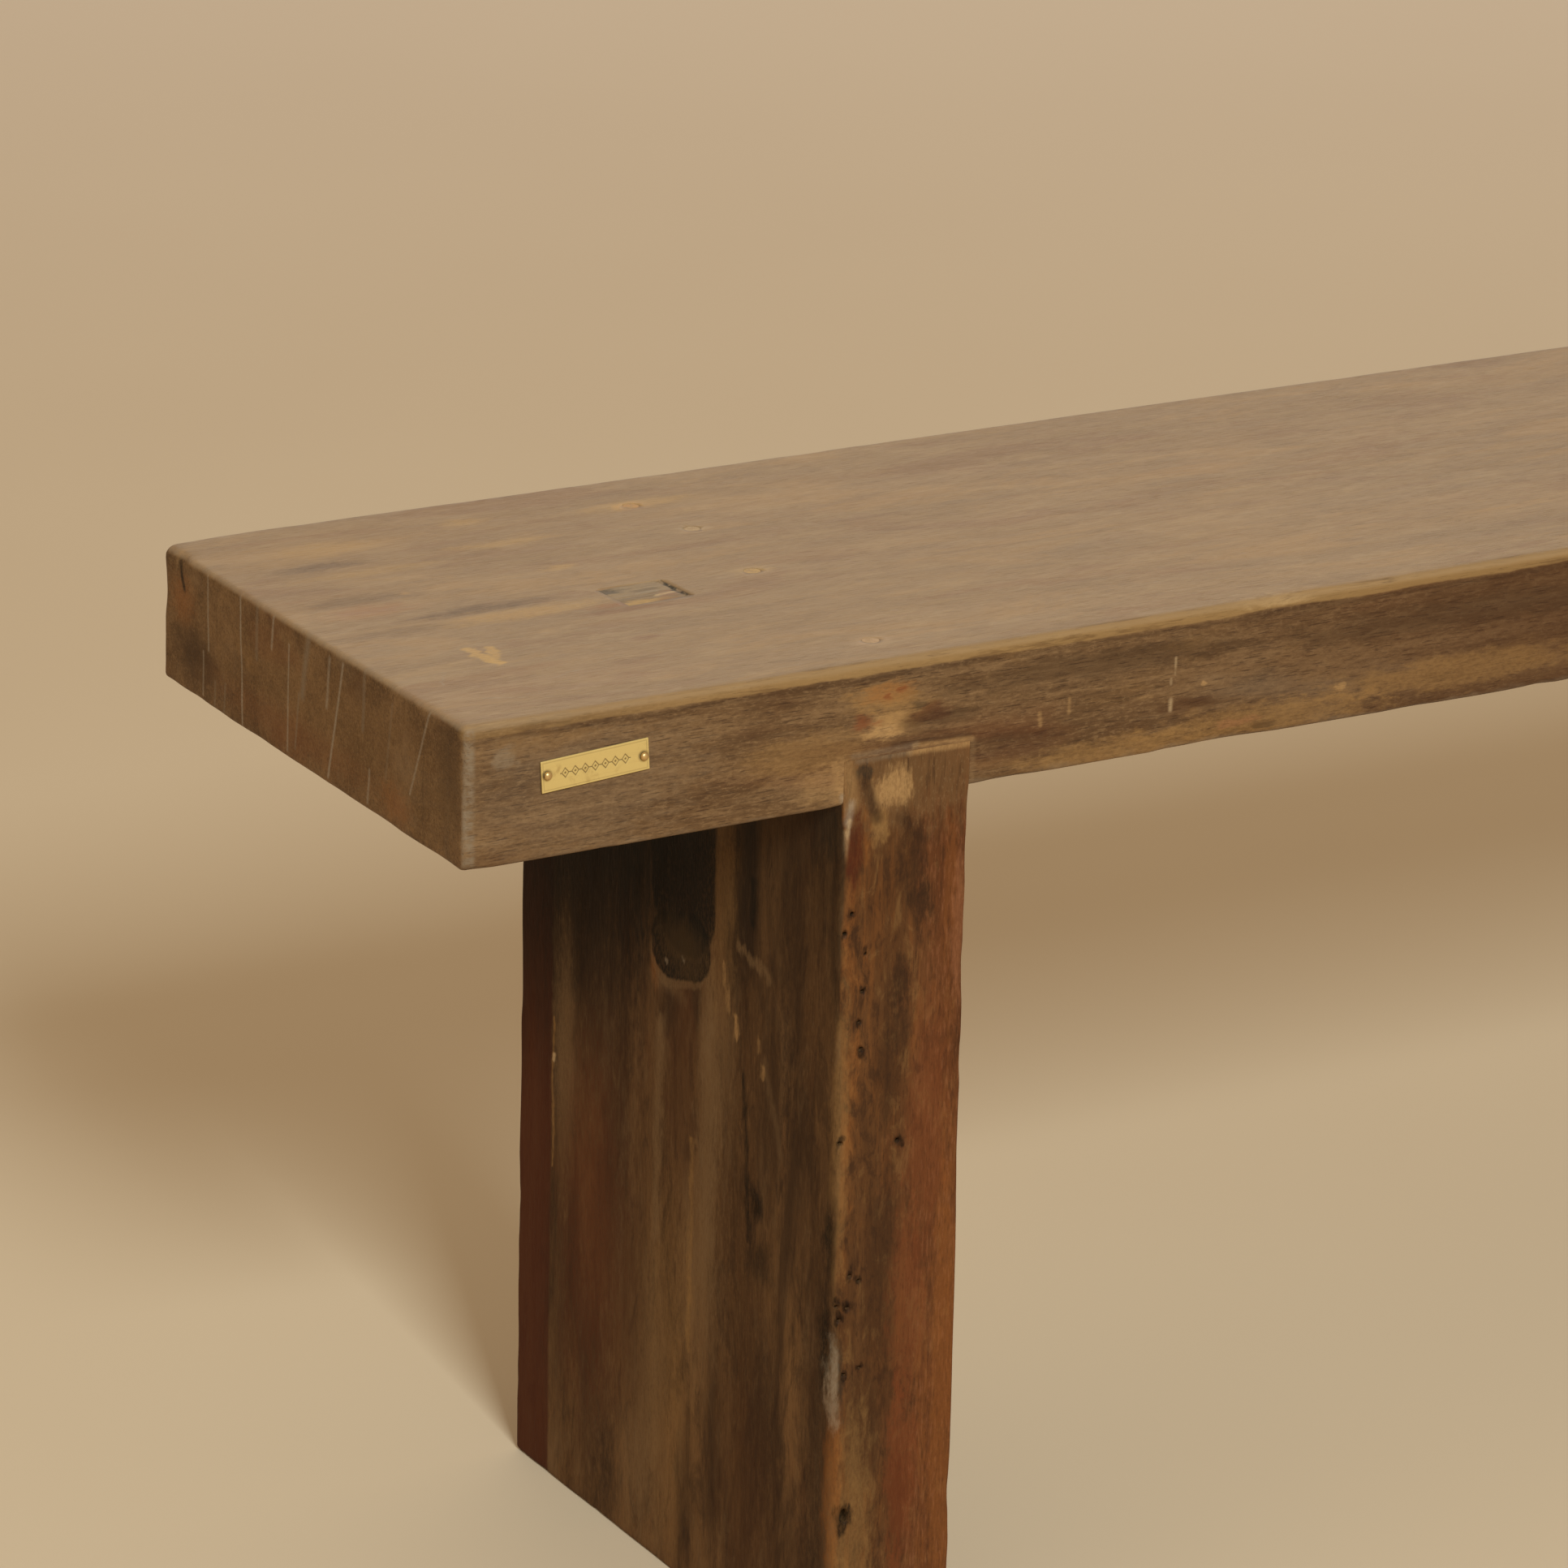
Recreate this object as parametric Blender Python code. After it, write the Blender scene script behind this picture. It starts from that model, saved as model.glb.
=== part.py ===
"""Backless bench in thick reclaimed hardwood.

A plank seat stands on two slab legs. The head of each leg is let into a housing that runs the full
depth of the seat's underside, and four screws driven down through the seat pull it home. Plugs of
filler hide the screw heads. A small rectangular patch repairs the top of the seat, and a brass plate
is pinned to its front face near the left end.

Metres, +Z up. The origin is on the floor under the middle of the seat. +X runs along the seat, to the
right as seen from the front, and +Y runs from the front face to the back face.
"""

import math

import bmesh
import bpy

# Driving dimensions.
BENCH_LENGTH = 1.600
BENCH_HEIGHT = 0.450
BENCH_DEPTH = 0.272
SEAT_THICKNESS = 0.058
LEG_THICKNESS = 0.058
SEAT_OVERHANG = 0.170  # from the end of the seat to the outer face of a leg
HOUSING_DEPTH = 0.019  # how far a leg's head is let into the seat
SEAT_ARRIS = 0.003
LEG_ARRIS = 0.002
FIT_GAP = 0.0003  # between any two pieces that touch

# Trim-head wood screws, and the plugs of filler over their heads.
SCREW_LENGTH = 0.100
SCREW_HEAD_DIAMETER = 0.007
SCREW_HEAD_HEIGHT = 0.004
SCREW_SHANK_DIAMETER = 0.005
SCREW_POINT_LENGTH = 0.008
SCREW_DRIVE_WIDTH = 0.0026
SCREW_DRIVE_DEPTH = 0.0020
PLUG_HOLE_DIAMETER = 0.008
PLUG_DEPTH = 0.010  # from the top of the seat down to a screw's head

# The hand-set row of screws over a leg: outward shift from the leg's middle, distance from the front.
SCREW_ROW = (
    (0.0025, 0.0265),
    (-0.0018, 0.1288),
    (-0.0092, 0.1927),
    (-0.0024, 0.2337),
)

# The repair patch: place of its middle from the left end and from the front.
PATCH_LENGTH = 0.0305
PATCH_WIDTH = 0.0250
PATCH_DEPTH = 0.006
PATCH_FROM_LEFT = 0.1464
PATCH_FROM_FRONT = 0.1218
PATCH_TURN = math.radians(3.0)

# The brass plate and its pins: place of its middle from the left end and above the floor.
PLATE_LENGTH = 0.0473
PLATE_HEIGHT = 0.0130
PLATE_THICKNESS = 0.0008
PLATE_FROM_LEFT = 0.0570
PLATE_ABOVE_FLOOR = 0.4271
PLATE_TILT = math.radians(3.6)
PIN_SPACING = 0.0424
PIN_LINE_TILT = math.radians(2.0)
PIN_LENGTH = 0.012
PIN_DIAMETER = 0.0012
PIN_HEAD_DIAMETER = 0.0034
PIN_HEAD_HEIGHT = 0.0011
PIN_POINT_LENGTH = 0.0015

# Derived places.
LEFT_END = -BENCH_LENGTH / 2
FRONT_FACE = -BENCH_DEPTH / 2
SEAT_UNDERSIDE = BENCH_HEIGHT - SEAT_THICKNESS
LEG_MIDDLE = BENCH_LENGTH / 2 - SEAT_OVERHANG - LEG_THICKNESS / 2
LEG_TOP = SEAT_UNDERSIDE + HOUSING_DEPTH - FIT_GAP
SCREW_HEAD_TOP = BENCH_HEIGHT - PLUG_DEPTH
SIDES = {"left": -1, "right": 1}

ROUND_SEGMENTS = 16
DOME_STEPS = 4
CUT_MARGIN = 0.004  # how far a cutter stands out of the piece that it opens


def clear_scene():
    for old in list(bpy.data.objects):
        bpy.data.objects.remove(old, do_unlink=True)


def make_material(name, color, roughness, metallic=0.0):
    material = bpy.data.materials.new(name)
    material.use_nodes = True
    shader = material.node_tree.nodes["Principled BSDF"]
    shader.inputs["Base Color"].default_value = (*color, 1.0)
    shader.inputs["Roughness"].default_value = roughness
    shader.inputs["Metallic"].default_value = metallic
    return material


def add_object(name, mesh, location=(0.0, 0.0, 0.0), rotation=(0.0, 0.0, 0.0), material=None):
    """Put a mesh in the scene as one named object."""
    piece = bpy.data.objects.new(name, mesh)
    piece.location = location
    piece.rotation_euler = rotation
    bpy.context.scene.collection.objects.link(piece)
    if material and not mesh.materials:
        mesh.materials.append(material)
    return piece


def finish_mesh(name, bm):
    mesh = bpy.data.meshes.new(name)
    bmesh.ops.recalc_face_normals(bm, faces=bm.faces)
    bm.to_mesh(mesh)
    bm.free()
    return mesh


def block_mesh(name, size, arris=0.0, sharp_top=False):
    """A box about its own middle, with its edges eased by arris."""
    bm = bmesh.new()
    bmesh.ops.create_cube(bm, size=1.0)
    bmesh.ops.scale(bm, vec=size, verts=bm.verts)
    if arris:
        eased = [
            edge
            for edge in bm.edges
            if not (sharp_top and all(vertex.co.z > 0 for vertex in edge.verts))
        ]
        bmesh.ops.bevel(bm, geom=eased, offset=arris, segments=2, profile=0.5, affect="EDGES")
    return finish_mesh(name, bm)


def turned_mesh(name, profile):
    """A round piece about its own Z axis. The profile runs from axis to axis as (radius, height)."""
    bm = bmesh.new()
    points = [bm.verts.new((radius, 0.0, height)) for radius, height in profile]
    chain = [bm.edges.new(pair) for pair in zip(points, points[1:])]
    bmesh.ops.spin(
        bm,
        geom=points + chain,
        cent=(0.0, 0.0, 0.0),
        axis=(0.0, 0.0, 1.0),
        angle=2 * math.pi,
        steps=ROUND_SEGMENTS,
        use_merge=True,
    )
    bmesh.ops.remove_doubles(bm, verts=bm.verts, dist=1e-6)
    mesh = finish_mesh(name, bm)
    mesh.shade_smooth()
    mesh.set_sharp_from_angle(angle=math.radians(35))
    return mesh


def cut(piece, cutter):
    """Subtract a cutter from a piece and keep the cutter out of the picture."""
    cutter.hide_render = True
    cutter.display_type = "WIRE"
    boolean = piece.modifiers.new(cutter.name, "BOOLEAN")
    boolean.operation = "DIFFERENCE"
    boolean.solver = "EXACT"
    boolean.object = cutter


def block_cutter(name, size, location, rotation=(0.0, 0.0, 0.0)):
    return add_object(name, block_mesh(name, size), location, rotation)


def round_cutter(name, profile, location, rotation=(0.0, 0.0, 0.0)):
    return add_object(name, turned_mesh(name, profile), location, rotation)


def screw_places(side):
    """Where the screws over one leg stand, as (x, y)."""
    for outward, from_front in SCREW_ROW:
        yield side * (LEG_MIDDLE + outward), FRONT_FACE + from_front


def pin_places():
    """Where the plate's two pins stand, as (name, x, z)."""
    for name, side in SIDES.items():
        along = side * PIN_SPACING / 2
        x = LEFT_END + PLATE_FROM_LEFT + along * math.cos(PIN_LINE_TILT)
        z = PLATE_ABOVE_FLOOR + along * math.sin(PIN_LINE_TILT)
        yield name, x, z


def make_seat(material):
    """The plank, with the housings, screw holes, patch recess and pin holes cut into it."""
    size = (BENCH_LENGTH, BENCH_DEPTH, SEAT_THICKNESS)
    middle = (0.0, 0.0, BENCH_HEIGHT - SEAT_THICKNESS / 2)
    seat = add_object("seat_plank", block_mesh("seat_plank", size, SEAT_ARRIS), middle, material=material)
    for side_name, side in SIDES.items():
        cut_housing(seat, side_name, side)
        for number, (x, y) in enumerate(screw_places(side), start=1):
            cut_screw_hole(seat, f"{side_name}_{number}", x, y)
    cut_patch_recess(seat)
    for pin_name, x, z in pin_places():
        depth = PIN_LENGTH + FIT_GAP
        cut(seat, pin_hole_cutter(f"seat_pin_hole_{pin_name}", x, z, FRONT_FACE, depth))
    return seat


def cut_housing(seat, side_name, side):
    height = HOUSING_DEPTH + CUT_MARGIN
    size = (LEG_THICKNESS + 2 * FIT_GAP, BENCH_DEPTH + 2 * CUT_MARGIN, height)
    middle = (side * LEG_MIDDLE, 0.0, SEAT_UNDERSIDE + HOUSING_DEPTH - height / 2)
    cut(seat, block_cutter(f"housing_{side_name}", size, middle))


def cut_screw_hole(seat, label, x, y):
    """A wide bore for the head and plug, and a narrow one for the shank."""
    wide = PLUG_HOLE_DIAMETER / 2
    narrow = SCREW_SHANK_DIAMETER / 2 + FIT_GAP
    step = -PLUG_DEPTH - SCREW_HEAD_HEIGHT - FIT_GAP
    bottom = HOUSING_DEPTH - SEAT_THICKNESS - CUT_MARGIN
    profile = [
        (0.0, bottom),
        (narrow, bottom),
        (narrow, step),
        (wide, step),
        (wide, CUT_MARGIN),
        (0.0, CUT_MARGIN),
    ]
    cut(seat, round_cutter(f"screw_hole_{label}", profile, (x, y, BENCH_HEIGHT)))


def cut_patch_recess(seat):
    height = PATCH_DEPTH + FIT_GAP + CUT_MARGIN
    size = (PATCH_LENGTH + 2 * FIT_GAP, PATCH_WIDTH + 2 * FIT_GAP, height)
    middle = (
        LEFT_END + PATCH_FROM_LEFT,
        FRONT_FACE + PATCH_FROM_FRONT,
        BENCH_HEIGHT + CUT_MARGIN - height / 2,
    )
    cut(seat, block_cutter("patch_recess", size, middle, (0.0, 0.0, PATCH_TURN)))


def pin_hole_cutter(name, x, z, face, depth):
    """A cylinder that enters through the plane y = face and goes in by depth."""
    radius = PIN_DIAMETER / 2 + FIT_GAP
    profile = [(0.0, -depth), (radius, -depth), (radius, CUT_MARGIN), (0.0, CUT_MARGIN)]
    return round_cutter(name, profile, (x, face, z), (math.pi / 2, 0.0, 0.0))


def make_leg(side_name, side, material):
    """A slab leg with the lower part of its screw holes bored into its head."""
    name = f"leg_{side_name}"
    size = (LEG_THICKNESS, BENCH_DEPTH, LEG_TOP)
    mesh = block_mesh(name, size, LEG_ARRIS, sharp_top=True)
    leg = add_object(name, mesh, (side * LEG_MIDDLE, 0.0, LEG_TOP / 2), material=material)
    radius = SCREW_SHANK_DIAMETER / 2 + FIT_GAP
    bottom = SCREW_HEAD_TOP - SCREW_LENGTH - FIT_GAP - LEG_TOP
    profile = [(0.0, bottom), (radius, bottom), (radius, CUT_MARGIN), (0.0, CUT_MARGIN)]
    for number, (x, y) in enumerate(screw_places(side), start=1):
        cutter_name = f"leg_screw_hole_{side_name}_{number}"
        cut(leg, round_cutter(cutter_name, profile, (x, y, LEG_TOP)))
    return leg


def screw_mesh(material):
    """A trim-head screw, its head's top at height 0, with a square drive socket."""
    head = SCREW_HEAD_DIAMETER / 2
    shank = SCREW_SHANK_DIAMETER / 2
    profile = [
        (0.0, -SCREW_LENGTH),
        (shank, -SCREW_LENGTH + SCREW_POINT_LENGTH),
        (shank, -SCREW_HEAD_HEIGHT),
        (head, -SCREW_HEAD_HEIGHT / 2),
        (head, 0.0),
        (0.0, 0.0),
    ]
    plain = add_object("screw_blank", turned_mesh("screw_blank", profile), material=material)
    socket_size = (SCREW_DRIVE_WIDTH, SCREW_DRIVE_WIDTH, SCREW_DRIVE_DEPTH + CUT_MARGIN)
    socket_middle = (0.0, 0.0, (CUT_MARGIN - SCREW_DRIVE_DEPTH) / 2)
    socket = block_cutter("screw_socket", socket_size, socket_middle)
    cut(plain, socket)
    graph = bpy.context.evaluated_depsgraph_get()
    mesh = bpy.data.meshes.new_from_object(plain.evaluated_get(graph))
    for helper in (plain, socket):
        bpy.data.objects.remove(helper, do_unlink=True)
    return mesh


def plug_mesh(material):
    """A plug of filler, its top at height 0, that ends just above a screw's head."""
    radius = PLUG_HOLE_DIAMETER / 2 - FIT_GAP
    bottom = -PLUG_DEPTH + FIT_GAP
    mesh = turned_mesh("filler_plug", [(0.0, bottom), (radius, bottom), (radius, 0.0), (0.0, 0.0)])
    mesh.materials.append(material)
    return mesh


def make_screws_and_plugs(steel, filler):
    screw = screw_mesh(steel)
    plug = plug_mesh(filler)
    for side_name, side in SIDES.items():
        for number, (x, y) in enumerate(screw_places(side), start=1):
            add_object(f"seat_screw_{side_name}_{number}", screw, (x, y, SCREW_HEAD_TOP))
            add_object(f"filler_plug_{side_name}_{number}", plug, (x, y, BENCH_HEIGHT))


def make_patch(material):
    size = (PATCH_LENGTH, PATCH_WIDTH, PATCH_DEPTH)
    middle = (
        LEFT_END + PATCH_FROM_LEFT,
        FRONT_FACE + PATCH_FROM_FRONT,
        BENCH_HEIGHT - PATCH_DEPTH / 2,
    )
    mesh = block_mesh("repair_patch", size)
    add_object("repair_patch", mesh, middle, (0.0, 0.0, PATCH_TURN), material)


def make_plate(material):
    """The brass plate, its right end raised by the tilt, drilled for its two pins."""
    size = (PLATE_LENGTH, PLATE_THICKNESS, PLATE_HEIGHT)
    middle_y = FRONT_FACE - FIT_GAP - PLATE_THICKNESS / 2
    middle = (LEFT_END + PLATE_FROM_LEFT, middle_y, PLATE_ABOVE_FLOOR)
    tilt = (0.0, -PLATE_TILT, 0.0)
    plate = add_object("name_plate", block_mesh("name_plate", size), middle, tilt, material)
    for pin_name, x, z in pin_places():
        cutter_name = f"plate_pin_hole_{pin_name}"
        front = FRONT_FACE - FIT_GAP - PLATE_THICKNESS
        cut(plate, pin_hole_cutter(cutter_name, x, z, front, PLATE_THICKNESS + CUT_MARGIN))
    return plate


def pin_mesh(material):
    """A round-headed pin along its own Z axis, the underside of its head at height 0."""
    shank = PIN_DIAMETER / 2
    head = PIN_HEAD_DIAMETER / 2
    profile = [(0.0, -PIN_LENGTH), (shank, -PIN_LENGTH + PIN_POINT_LENGTH), (shank, 0.0)]
    for step in range(DOME_STEPS + 1):
        angle = math.pi / 2 * step / DOME_STEPS
        profile.append((head * math.cos(angle), PIN_HEAD_HEIGHT * math.sin(angle)))
    profile[-1] = (0.0, PIN_HEAD_HEIGHT)
    mesh = turned_mesh("plate_pin", profile)
    mesh.materials.append(material)
    return mesh


def make_pins(material):
    mesh = pin_mesh(material)
    under_head = FRONT_FACE - 2 * FIT_GAP - PLATE_THICKNESS
    for name, x, z in pin_places():
        add_object(f"plate_pin_{name}", mesh, (x, under_head, z), (math.pi / 2, 0.0, 0.0))


def main():
    clear_scene()
    make_seat(make_material("seat_wood", (0.200, 0.112, 0.055), 0.55))
    leg_wood = make_material("leg_wood", (0.102, 0.042, 0.015), 0.60)
    for side_name, side in SIDES.items():
        make_leg(side_name, side, leg_wood)
    steel = make_material("screw_steel", (0.42, 0.41, 0.38), 0.35, metallic=1.0)
    filler = make_material("wood_filler", (0.36, 0.21, 0.11), 0.80)
    make_screws_and_plugs(steel, filler)
    make_patch(make_material("patch_wood", (0.24, 0.16, 0.09), 0.65))
    make_plate(make_material("plate_brass", (0.66, 0.47, 0.19), 0.28, metallic=1.0))
    make_pins(make_material("pin_brass", (0.55, 0.40, 0.20), 0.35, metallic=1.0))


main()
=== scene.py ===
"""The looks of the backless bench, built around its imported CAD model.

Every wooden piece is a closed grid of small faces, eased along its arrises, slightly bowed, chipped
and dented. The wood, filler, brass and steel are node materials in the bench's own coordinates.
"""

import itertools
import math

import bpy
import numpy as np
from mathutils import Matrix, Vector


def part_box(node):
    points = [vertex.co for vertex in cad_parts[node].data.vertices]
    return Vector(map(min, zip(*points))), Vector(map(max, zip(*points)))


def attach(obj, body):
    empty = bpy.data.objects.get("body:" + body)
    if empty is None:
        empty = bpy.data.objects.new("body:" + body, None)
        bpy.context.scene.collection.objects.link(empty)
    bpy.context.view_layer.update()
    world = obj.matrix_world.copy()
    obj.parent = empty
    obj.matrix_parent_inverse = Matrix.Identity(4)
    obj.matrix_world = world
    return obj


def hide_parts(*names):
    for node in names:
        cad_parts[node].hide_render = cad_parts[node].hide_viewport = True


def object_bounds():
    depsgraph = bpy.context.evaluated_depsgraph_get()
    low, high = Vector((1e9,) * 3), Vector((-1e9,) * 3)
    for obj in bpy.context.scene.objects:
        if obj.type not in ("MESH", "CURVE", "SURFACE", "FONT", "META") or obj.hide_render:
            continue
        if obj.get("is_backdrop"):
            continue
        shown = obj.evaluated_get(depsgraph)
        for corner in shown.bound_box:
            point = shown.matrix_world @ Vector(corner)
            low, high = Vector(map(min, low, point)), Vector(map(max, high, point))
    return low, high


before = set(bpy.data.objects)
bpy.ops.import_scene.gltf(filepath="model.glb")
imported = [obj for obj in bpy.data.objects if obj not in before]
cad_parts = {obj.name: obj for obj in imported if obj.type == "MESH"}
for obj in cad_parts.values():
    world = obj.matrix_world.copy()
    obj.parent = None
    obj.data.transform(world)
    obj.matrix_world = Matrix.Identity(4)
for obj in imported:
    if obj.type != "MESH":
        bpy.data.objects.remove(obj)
cad_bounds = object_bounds()

MM = 0.001


def mm(*lengths):
    """Lengths given in millimetres, in metres."""
    return tuple(length * MM for length in lengths)


# The bench's main planes and leg places, from the frame.
seat_low, seat_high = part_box("seat_plank")
LEFT_END, FRONT, UNDERSIDE = seat_low
RIGHT_END, BACK, TOP = seat_high
SIDES = ("left", "right")
LEG_BOXES = {side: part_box(f"leg_{side}") for side in SIDES}
LEG_TOP = LEG_BOXES["left"][1].z
FIT_GAP = 0.3 * MM

# Each leg has four screws, each under a plug. The radii of the bores for screws and for pins.
NUMBERS = range(1, 5)
SCREW_HOLE, PIN_HOLE = 2.8 * MM, 0.8 * MM

# The plate and the patch lie at the same angles as their CAD nodes.
PLATE_LENGTH, PLATE_HEIGHT, PLATE_THICKNESS = 47.3 * MM, 13.0 * MM, 0.8 * MM
PLATE_TILT = math.radians(3.6)
PATCH_LENGTH, PATCH_WIDTH, PATCH_DEPTH = 30.5 * MM, 25.0 * MM, 6.0 * MM
PATCH_TURN = math.radians(3.0)
PATCH_SUNK = 0.2 * MM

# The camera: its place, and the direction it looks in, turned from +Y towards +X and tipped down.
CAMERA_PLACE = (-1.825, -2.109, 1.195)
CAMERA_TURN = math.radians(30.6)
CAMERA_PITCH = math.radians(19.0)
CAMERA_ROLL = math.radians(1.2)
CAMERA_LENS, CAMERA_SENSOR = 141.5, 36

X, Y, Z = 0, 1, 2


# ---------------------------------------------------------------- numbers


def lattice(cell, seed):
    """A repeatable number from 0 to 1 for each row of whole numbers, mixed by large odd factors."""
    mixed = (cell[:, X] * 73856093) ^ (cell[:, Y] * 19349663) ^ (cell[:, Z] * 83492791)
    mixed = (mixed ^ (seed * 2654435761)) & 0x7FFFFFFF
    mixed = ((mixed ^ (mixed >> 13)) * 1274126177) & 0x7FFFFFFF
    mixed = ((mixed ^ (mixed >> 15)) * 1911520717) & 0x7FFFFFFF
    return mixed / 0x7FFFFFFF


def noise(points, wavelength, seed):
    """Smooth noise from -1 to 1. The wavelength is one size in metres, or one for each axis."""
    scaled = points / np.asarray(wavelength, float)
    cell = np.floor(scaled).astype(np.int64)
    blend = scaled - cell
    blend = blend * blend * (3 - 2 * blend)
    total = np.zeros(len(points))
    for corner in itertools.product((0, 1), repeat=3):
        offset = np.array(corner)
        weight = np.prod(np.where(offset, blend, 1 - blend), axis=1)
        total += weight * lattice(cell + offset, seed)
    return 2 * total - 1


def smoothstep(low, high, value):
    t = np.clip((value - low) / (high - low), 0, 1)
    return t * t * (3 - 2 * t)


def settle(points):
    """The slow bow and twist of old planks. Every piece shares it, so that the joints stay tight."""
    drift = np.stack([noise(points, 0.30, seed) for seed in (11, 12, 13)], axis=1)
    off_floor = smoothstep(0, 0.15, points[:, Z])
    drift *= np.array((0.5, 1.1, 0.9)) * MM
    drift[:, Z] *= off_floor
    return points + drift


def settled(place):
    return Vector(settle(np.array([place], float))[0])


def middle_of(node):
    """Where a CAD node's middle lies once the bench has settled."""
    low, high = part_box(node)
    return settled((low + high) / 2)


# ---------------------------------------------------------------- meshes

EDGE_STEPS = np.array((0, 0.5, 1.2, 2.2, 3.6, 5.6)) * MM


def grid_lines(stations, steps):
    """Places along one axis: close together beside each station, and about a step apart between."""
    found = []
    for low, high, step in zip(stations, stations[1:], steps):
        near = EDGE_STEPS[EDGE_STEPS < 0.4 * (high - low)]
        inner_low, inner_high = low + near[-1], high - near[-1]
        count = max(1, round((inner_high - inner_low) / step))
        found += [low + near, np.linspace(inner_low, inner_high, count + 1), high - near[::-1]]
    return np.unique(np.concatenate(found).round(7))


def cell_surface(axes, filled):
    """Vertices and outward quads of the boundary between filled and empty cells of a grid."""
    counts = [len(lines) for lines in axes]
    solid = np.pad(filled, 1)
    quads = []
    for axis in range(3):
        inside = [slice(1, -1)] * 3
        inside[axis] = slice(None)
        layers = solid[tuple(inside)].astype(np.int8)
        step = np.diff(layers, axis=axis)
        unit = np.eye(3, dtype=int)
        u, v = unit[(axis + 1) % 3], unit[(axis + 2) % 3]
        for sign in (-1, 1):
            base = np.argwhere(step == sign)
            ring = [base, base + u, base + u + v, base + v]
            if sign == 1:
                ring.reverse()
            numbers = [np.ravel_multi_index(corner.T, counts) for corner in ring]
            quads.append(np.stack(numbers, axis=1))
    quads = np.concatenate(quads)
    used, quads = np.unique(quads, return_inverse=True)
    index = np.stack(np.unravel_index(used, counts), axis=1)
    points = np.stack([axes[axis][index[:, axis]] for axis in range(3)], axis=1)
    return points, quads.reshape(-1, 4)


def block_surface(low, high, steps):
    """A plain block as a grid surface."""
    axes = [grid_lines((low[axis], high[axis]), (steps[axis],)) for axis in range(3)]
    return cell_surface(axes, np.ones([len(lines) - 1 for lines in axes], bool))


def inner_box(points, low, high, radius):
    """How far each point stands out of the block's core, and that core point."""
    low, high = np.array(low), np.array(high)
    middle = (low + high) / 2
    reach = (high - low) / 2 - np.broadcast_to(radius, len(points))[:, None]
    core = np.clip(points - middle, -reach, reach)
    return points - middle - core, middle + core


def ease(points, low, high, radius):
    """Round the block's outer arrises, with one radius or one for each point."""
    out, core = inner_box(points, low, high, radius)
    reach = np.abs(out).max(axis=1, keepdims=True)
    length = np.linalg.norm(out, axis=1, keepdims=True)
    return core + out * reach / np.maximum(length, 1e-12)


def outward(points, low, high):
    """Unit directions out of a block, slanting near its arrises."""
    out, _ = inner_box(points, low, high, 8 * MM)
    return out / np.maximum(np.linalg.norm(out, axis=1, keepdims=True), 1e-12)


def arris_distance(points, low, high):
    """How far each surface point lies from the nearest outer arris."""
    to_faces = np.minimum(points - np.array(low), np.array(high) - points)
    return np.sort(to_faces, axis=1)[:, 1]


def press(points, direction, dents):
    """Push the surface in at each dent: (place, radii, depth)."""
    for place, radii, depth in dents:
        away = np.linalg.norm((points - np.array(place)) / np.array(radii), axis=1)
        points = points - direction * (depth * np.exp(-away ** 3))[:, None]
    return points


def edge_chips(rng, start, end, count, length, depth):
    """Small random bites along the line from start to end, as dents for press()."""
    start, end = np.array(start), np.array(end)
    along = np.abs(end - start) / np.linalg.norm(end - start)
    for _ in range(count):
        size = rng.uniform(0.3, 1.0)
        radii = 2.2 * MM + along * length * size
        yield start + (end - start) * rng.uniform(), radii, depth * rng.uniform(0.2, 1.0)


def make_object(name, points, faces, material, marks=()):
    """An object from points and faces. Marks are values for each point that its material reads."""
    mesh = bpy.data.meshes.new(name)
    mesh.from_pydata([tuple(point) for point in points], [], [list(face) for face in faces])
    for mark in marks:
        attribute = mesh.attributes.new(mark, "FLOAT", "POINT")
        attribute.data.foreach_set("value", marks[mark].astype(np.float32))
    mesh.shade_smooth()
    mesh.set_sharp_from_angle(angle=math.radians(50))
    mesh.materials.append(material)
    piece = bpy.data.objects.new(name, mesh)
    bpy.context.scene.collection.objects.link(piece)
    return piece


def turned(rows, segments):
    """A closed round surface about Z. Each row is (radius or radii, height)."""
    angles = np.arange(segments) * 2 * math.pi / segments
    rings = []
    for radius, height in rows:
        radii = np.broadcast_to(np.asarray(radius, float), segments)
        level = np.full(segments, height)
        rings.append(np.stack([radii * np.cos(angles), radii * np.sin(angles), level], 1))
    points = [*np.concatenate(rings), (0, 0, rows[0][1]), (0, 0, rows[-1][1])]
    first_middle = len(rows) * segments
    last_ring = first_middle - segments
    faces = []
    for k in range(segments):
        after = (k + 1) % segments
        faces.append((first_middle, after, k))
        faces.append((first_middle + 1, last_ring + k, last_ring + after))
        for row in range(len(rows) - 1):
            low, high = row * segments, (row + 1) * segments
            faces.append((low + k, low + after, high + after, high + k))
    return np.array(points), faces


def drill(piece, shapes):
    """Cut closed shapes, which must not touch one another, out of a piece for good."""
    points, faces = [], []
    for shape_points, shape_faces in shapes:
        start = len(points)
        points += list(shape_points)
        faces += [[start + corner for corner in face] for face in shape_faces]
    cutter = make_object("cutter", points, faces, None)
    boolean = piece.modifiers.new("drill", "BOOLEAN")
    boolean.operation = "DIFFERENCE"
    boolean.solver = "EXACT"
    boolean.object = cutter
    graph = bpy.context.evaluated_depsgraph_get()
    drilled = bpy.data.meshes.new_from_object(piece.evaluated_get(graph))
    piece.modifiers.clear()
    piece.data = drilled
    bpy.data.objects.remove(cutter)


# ---------------------------------------------------------------- materials


def srgb(red, green, blue):
    """A colour given as 0 to 255 values, in linear light."""
    share = np.array((red, green, blue)) / 255
    linear = np.where(share <= 0.04045, share / 12.92, ((share + 0.055) / 1.055) ** 2.4)
    return (*linear, 1.0)


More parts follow.
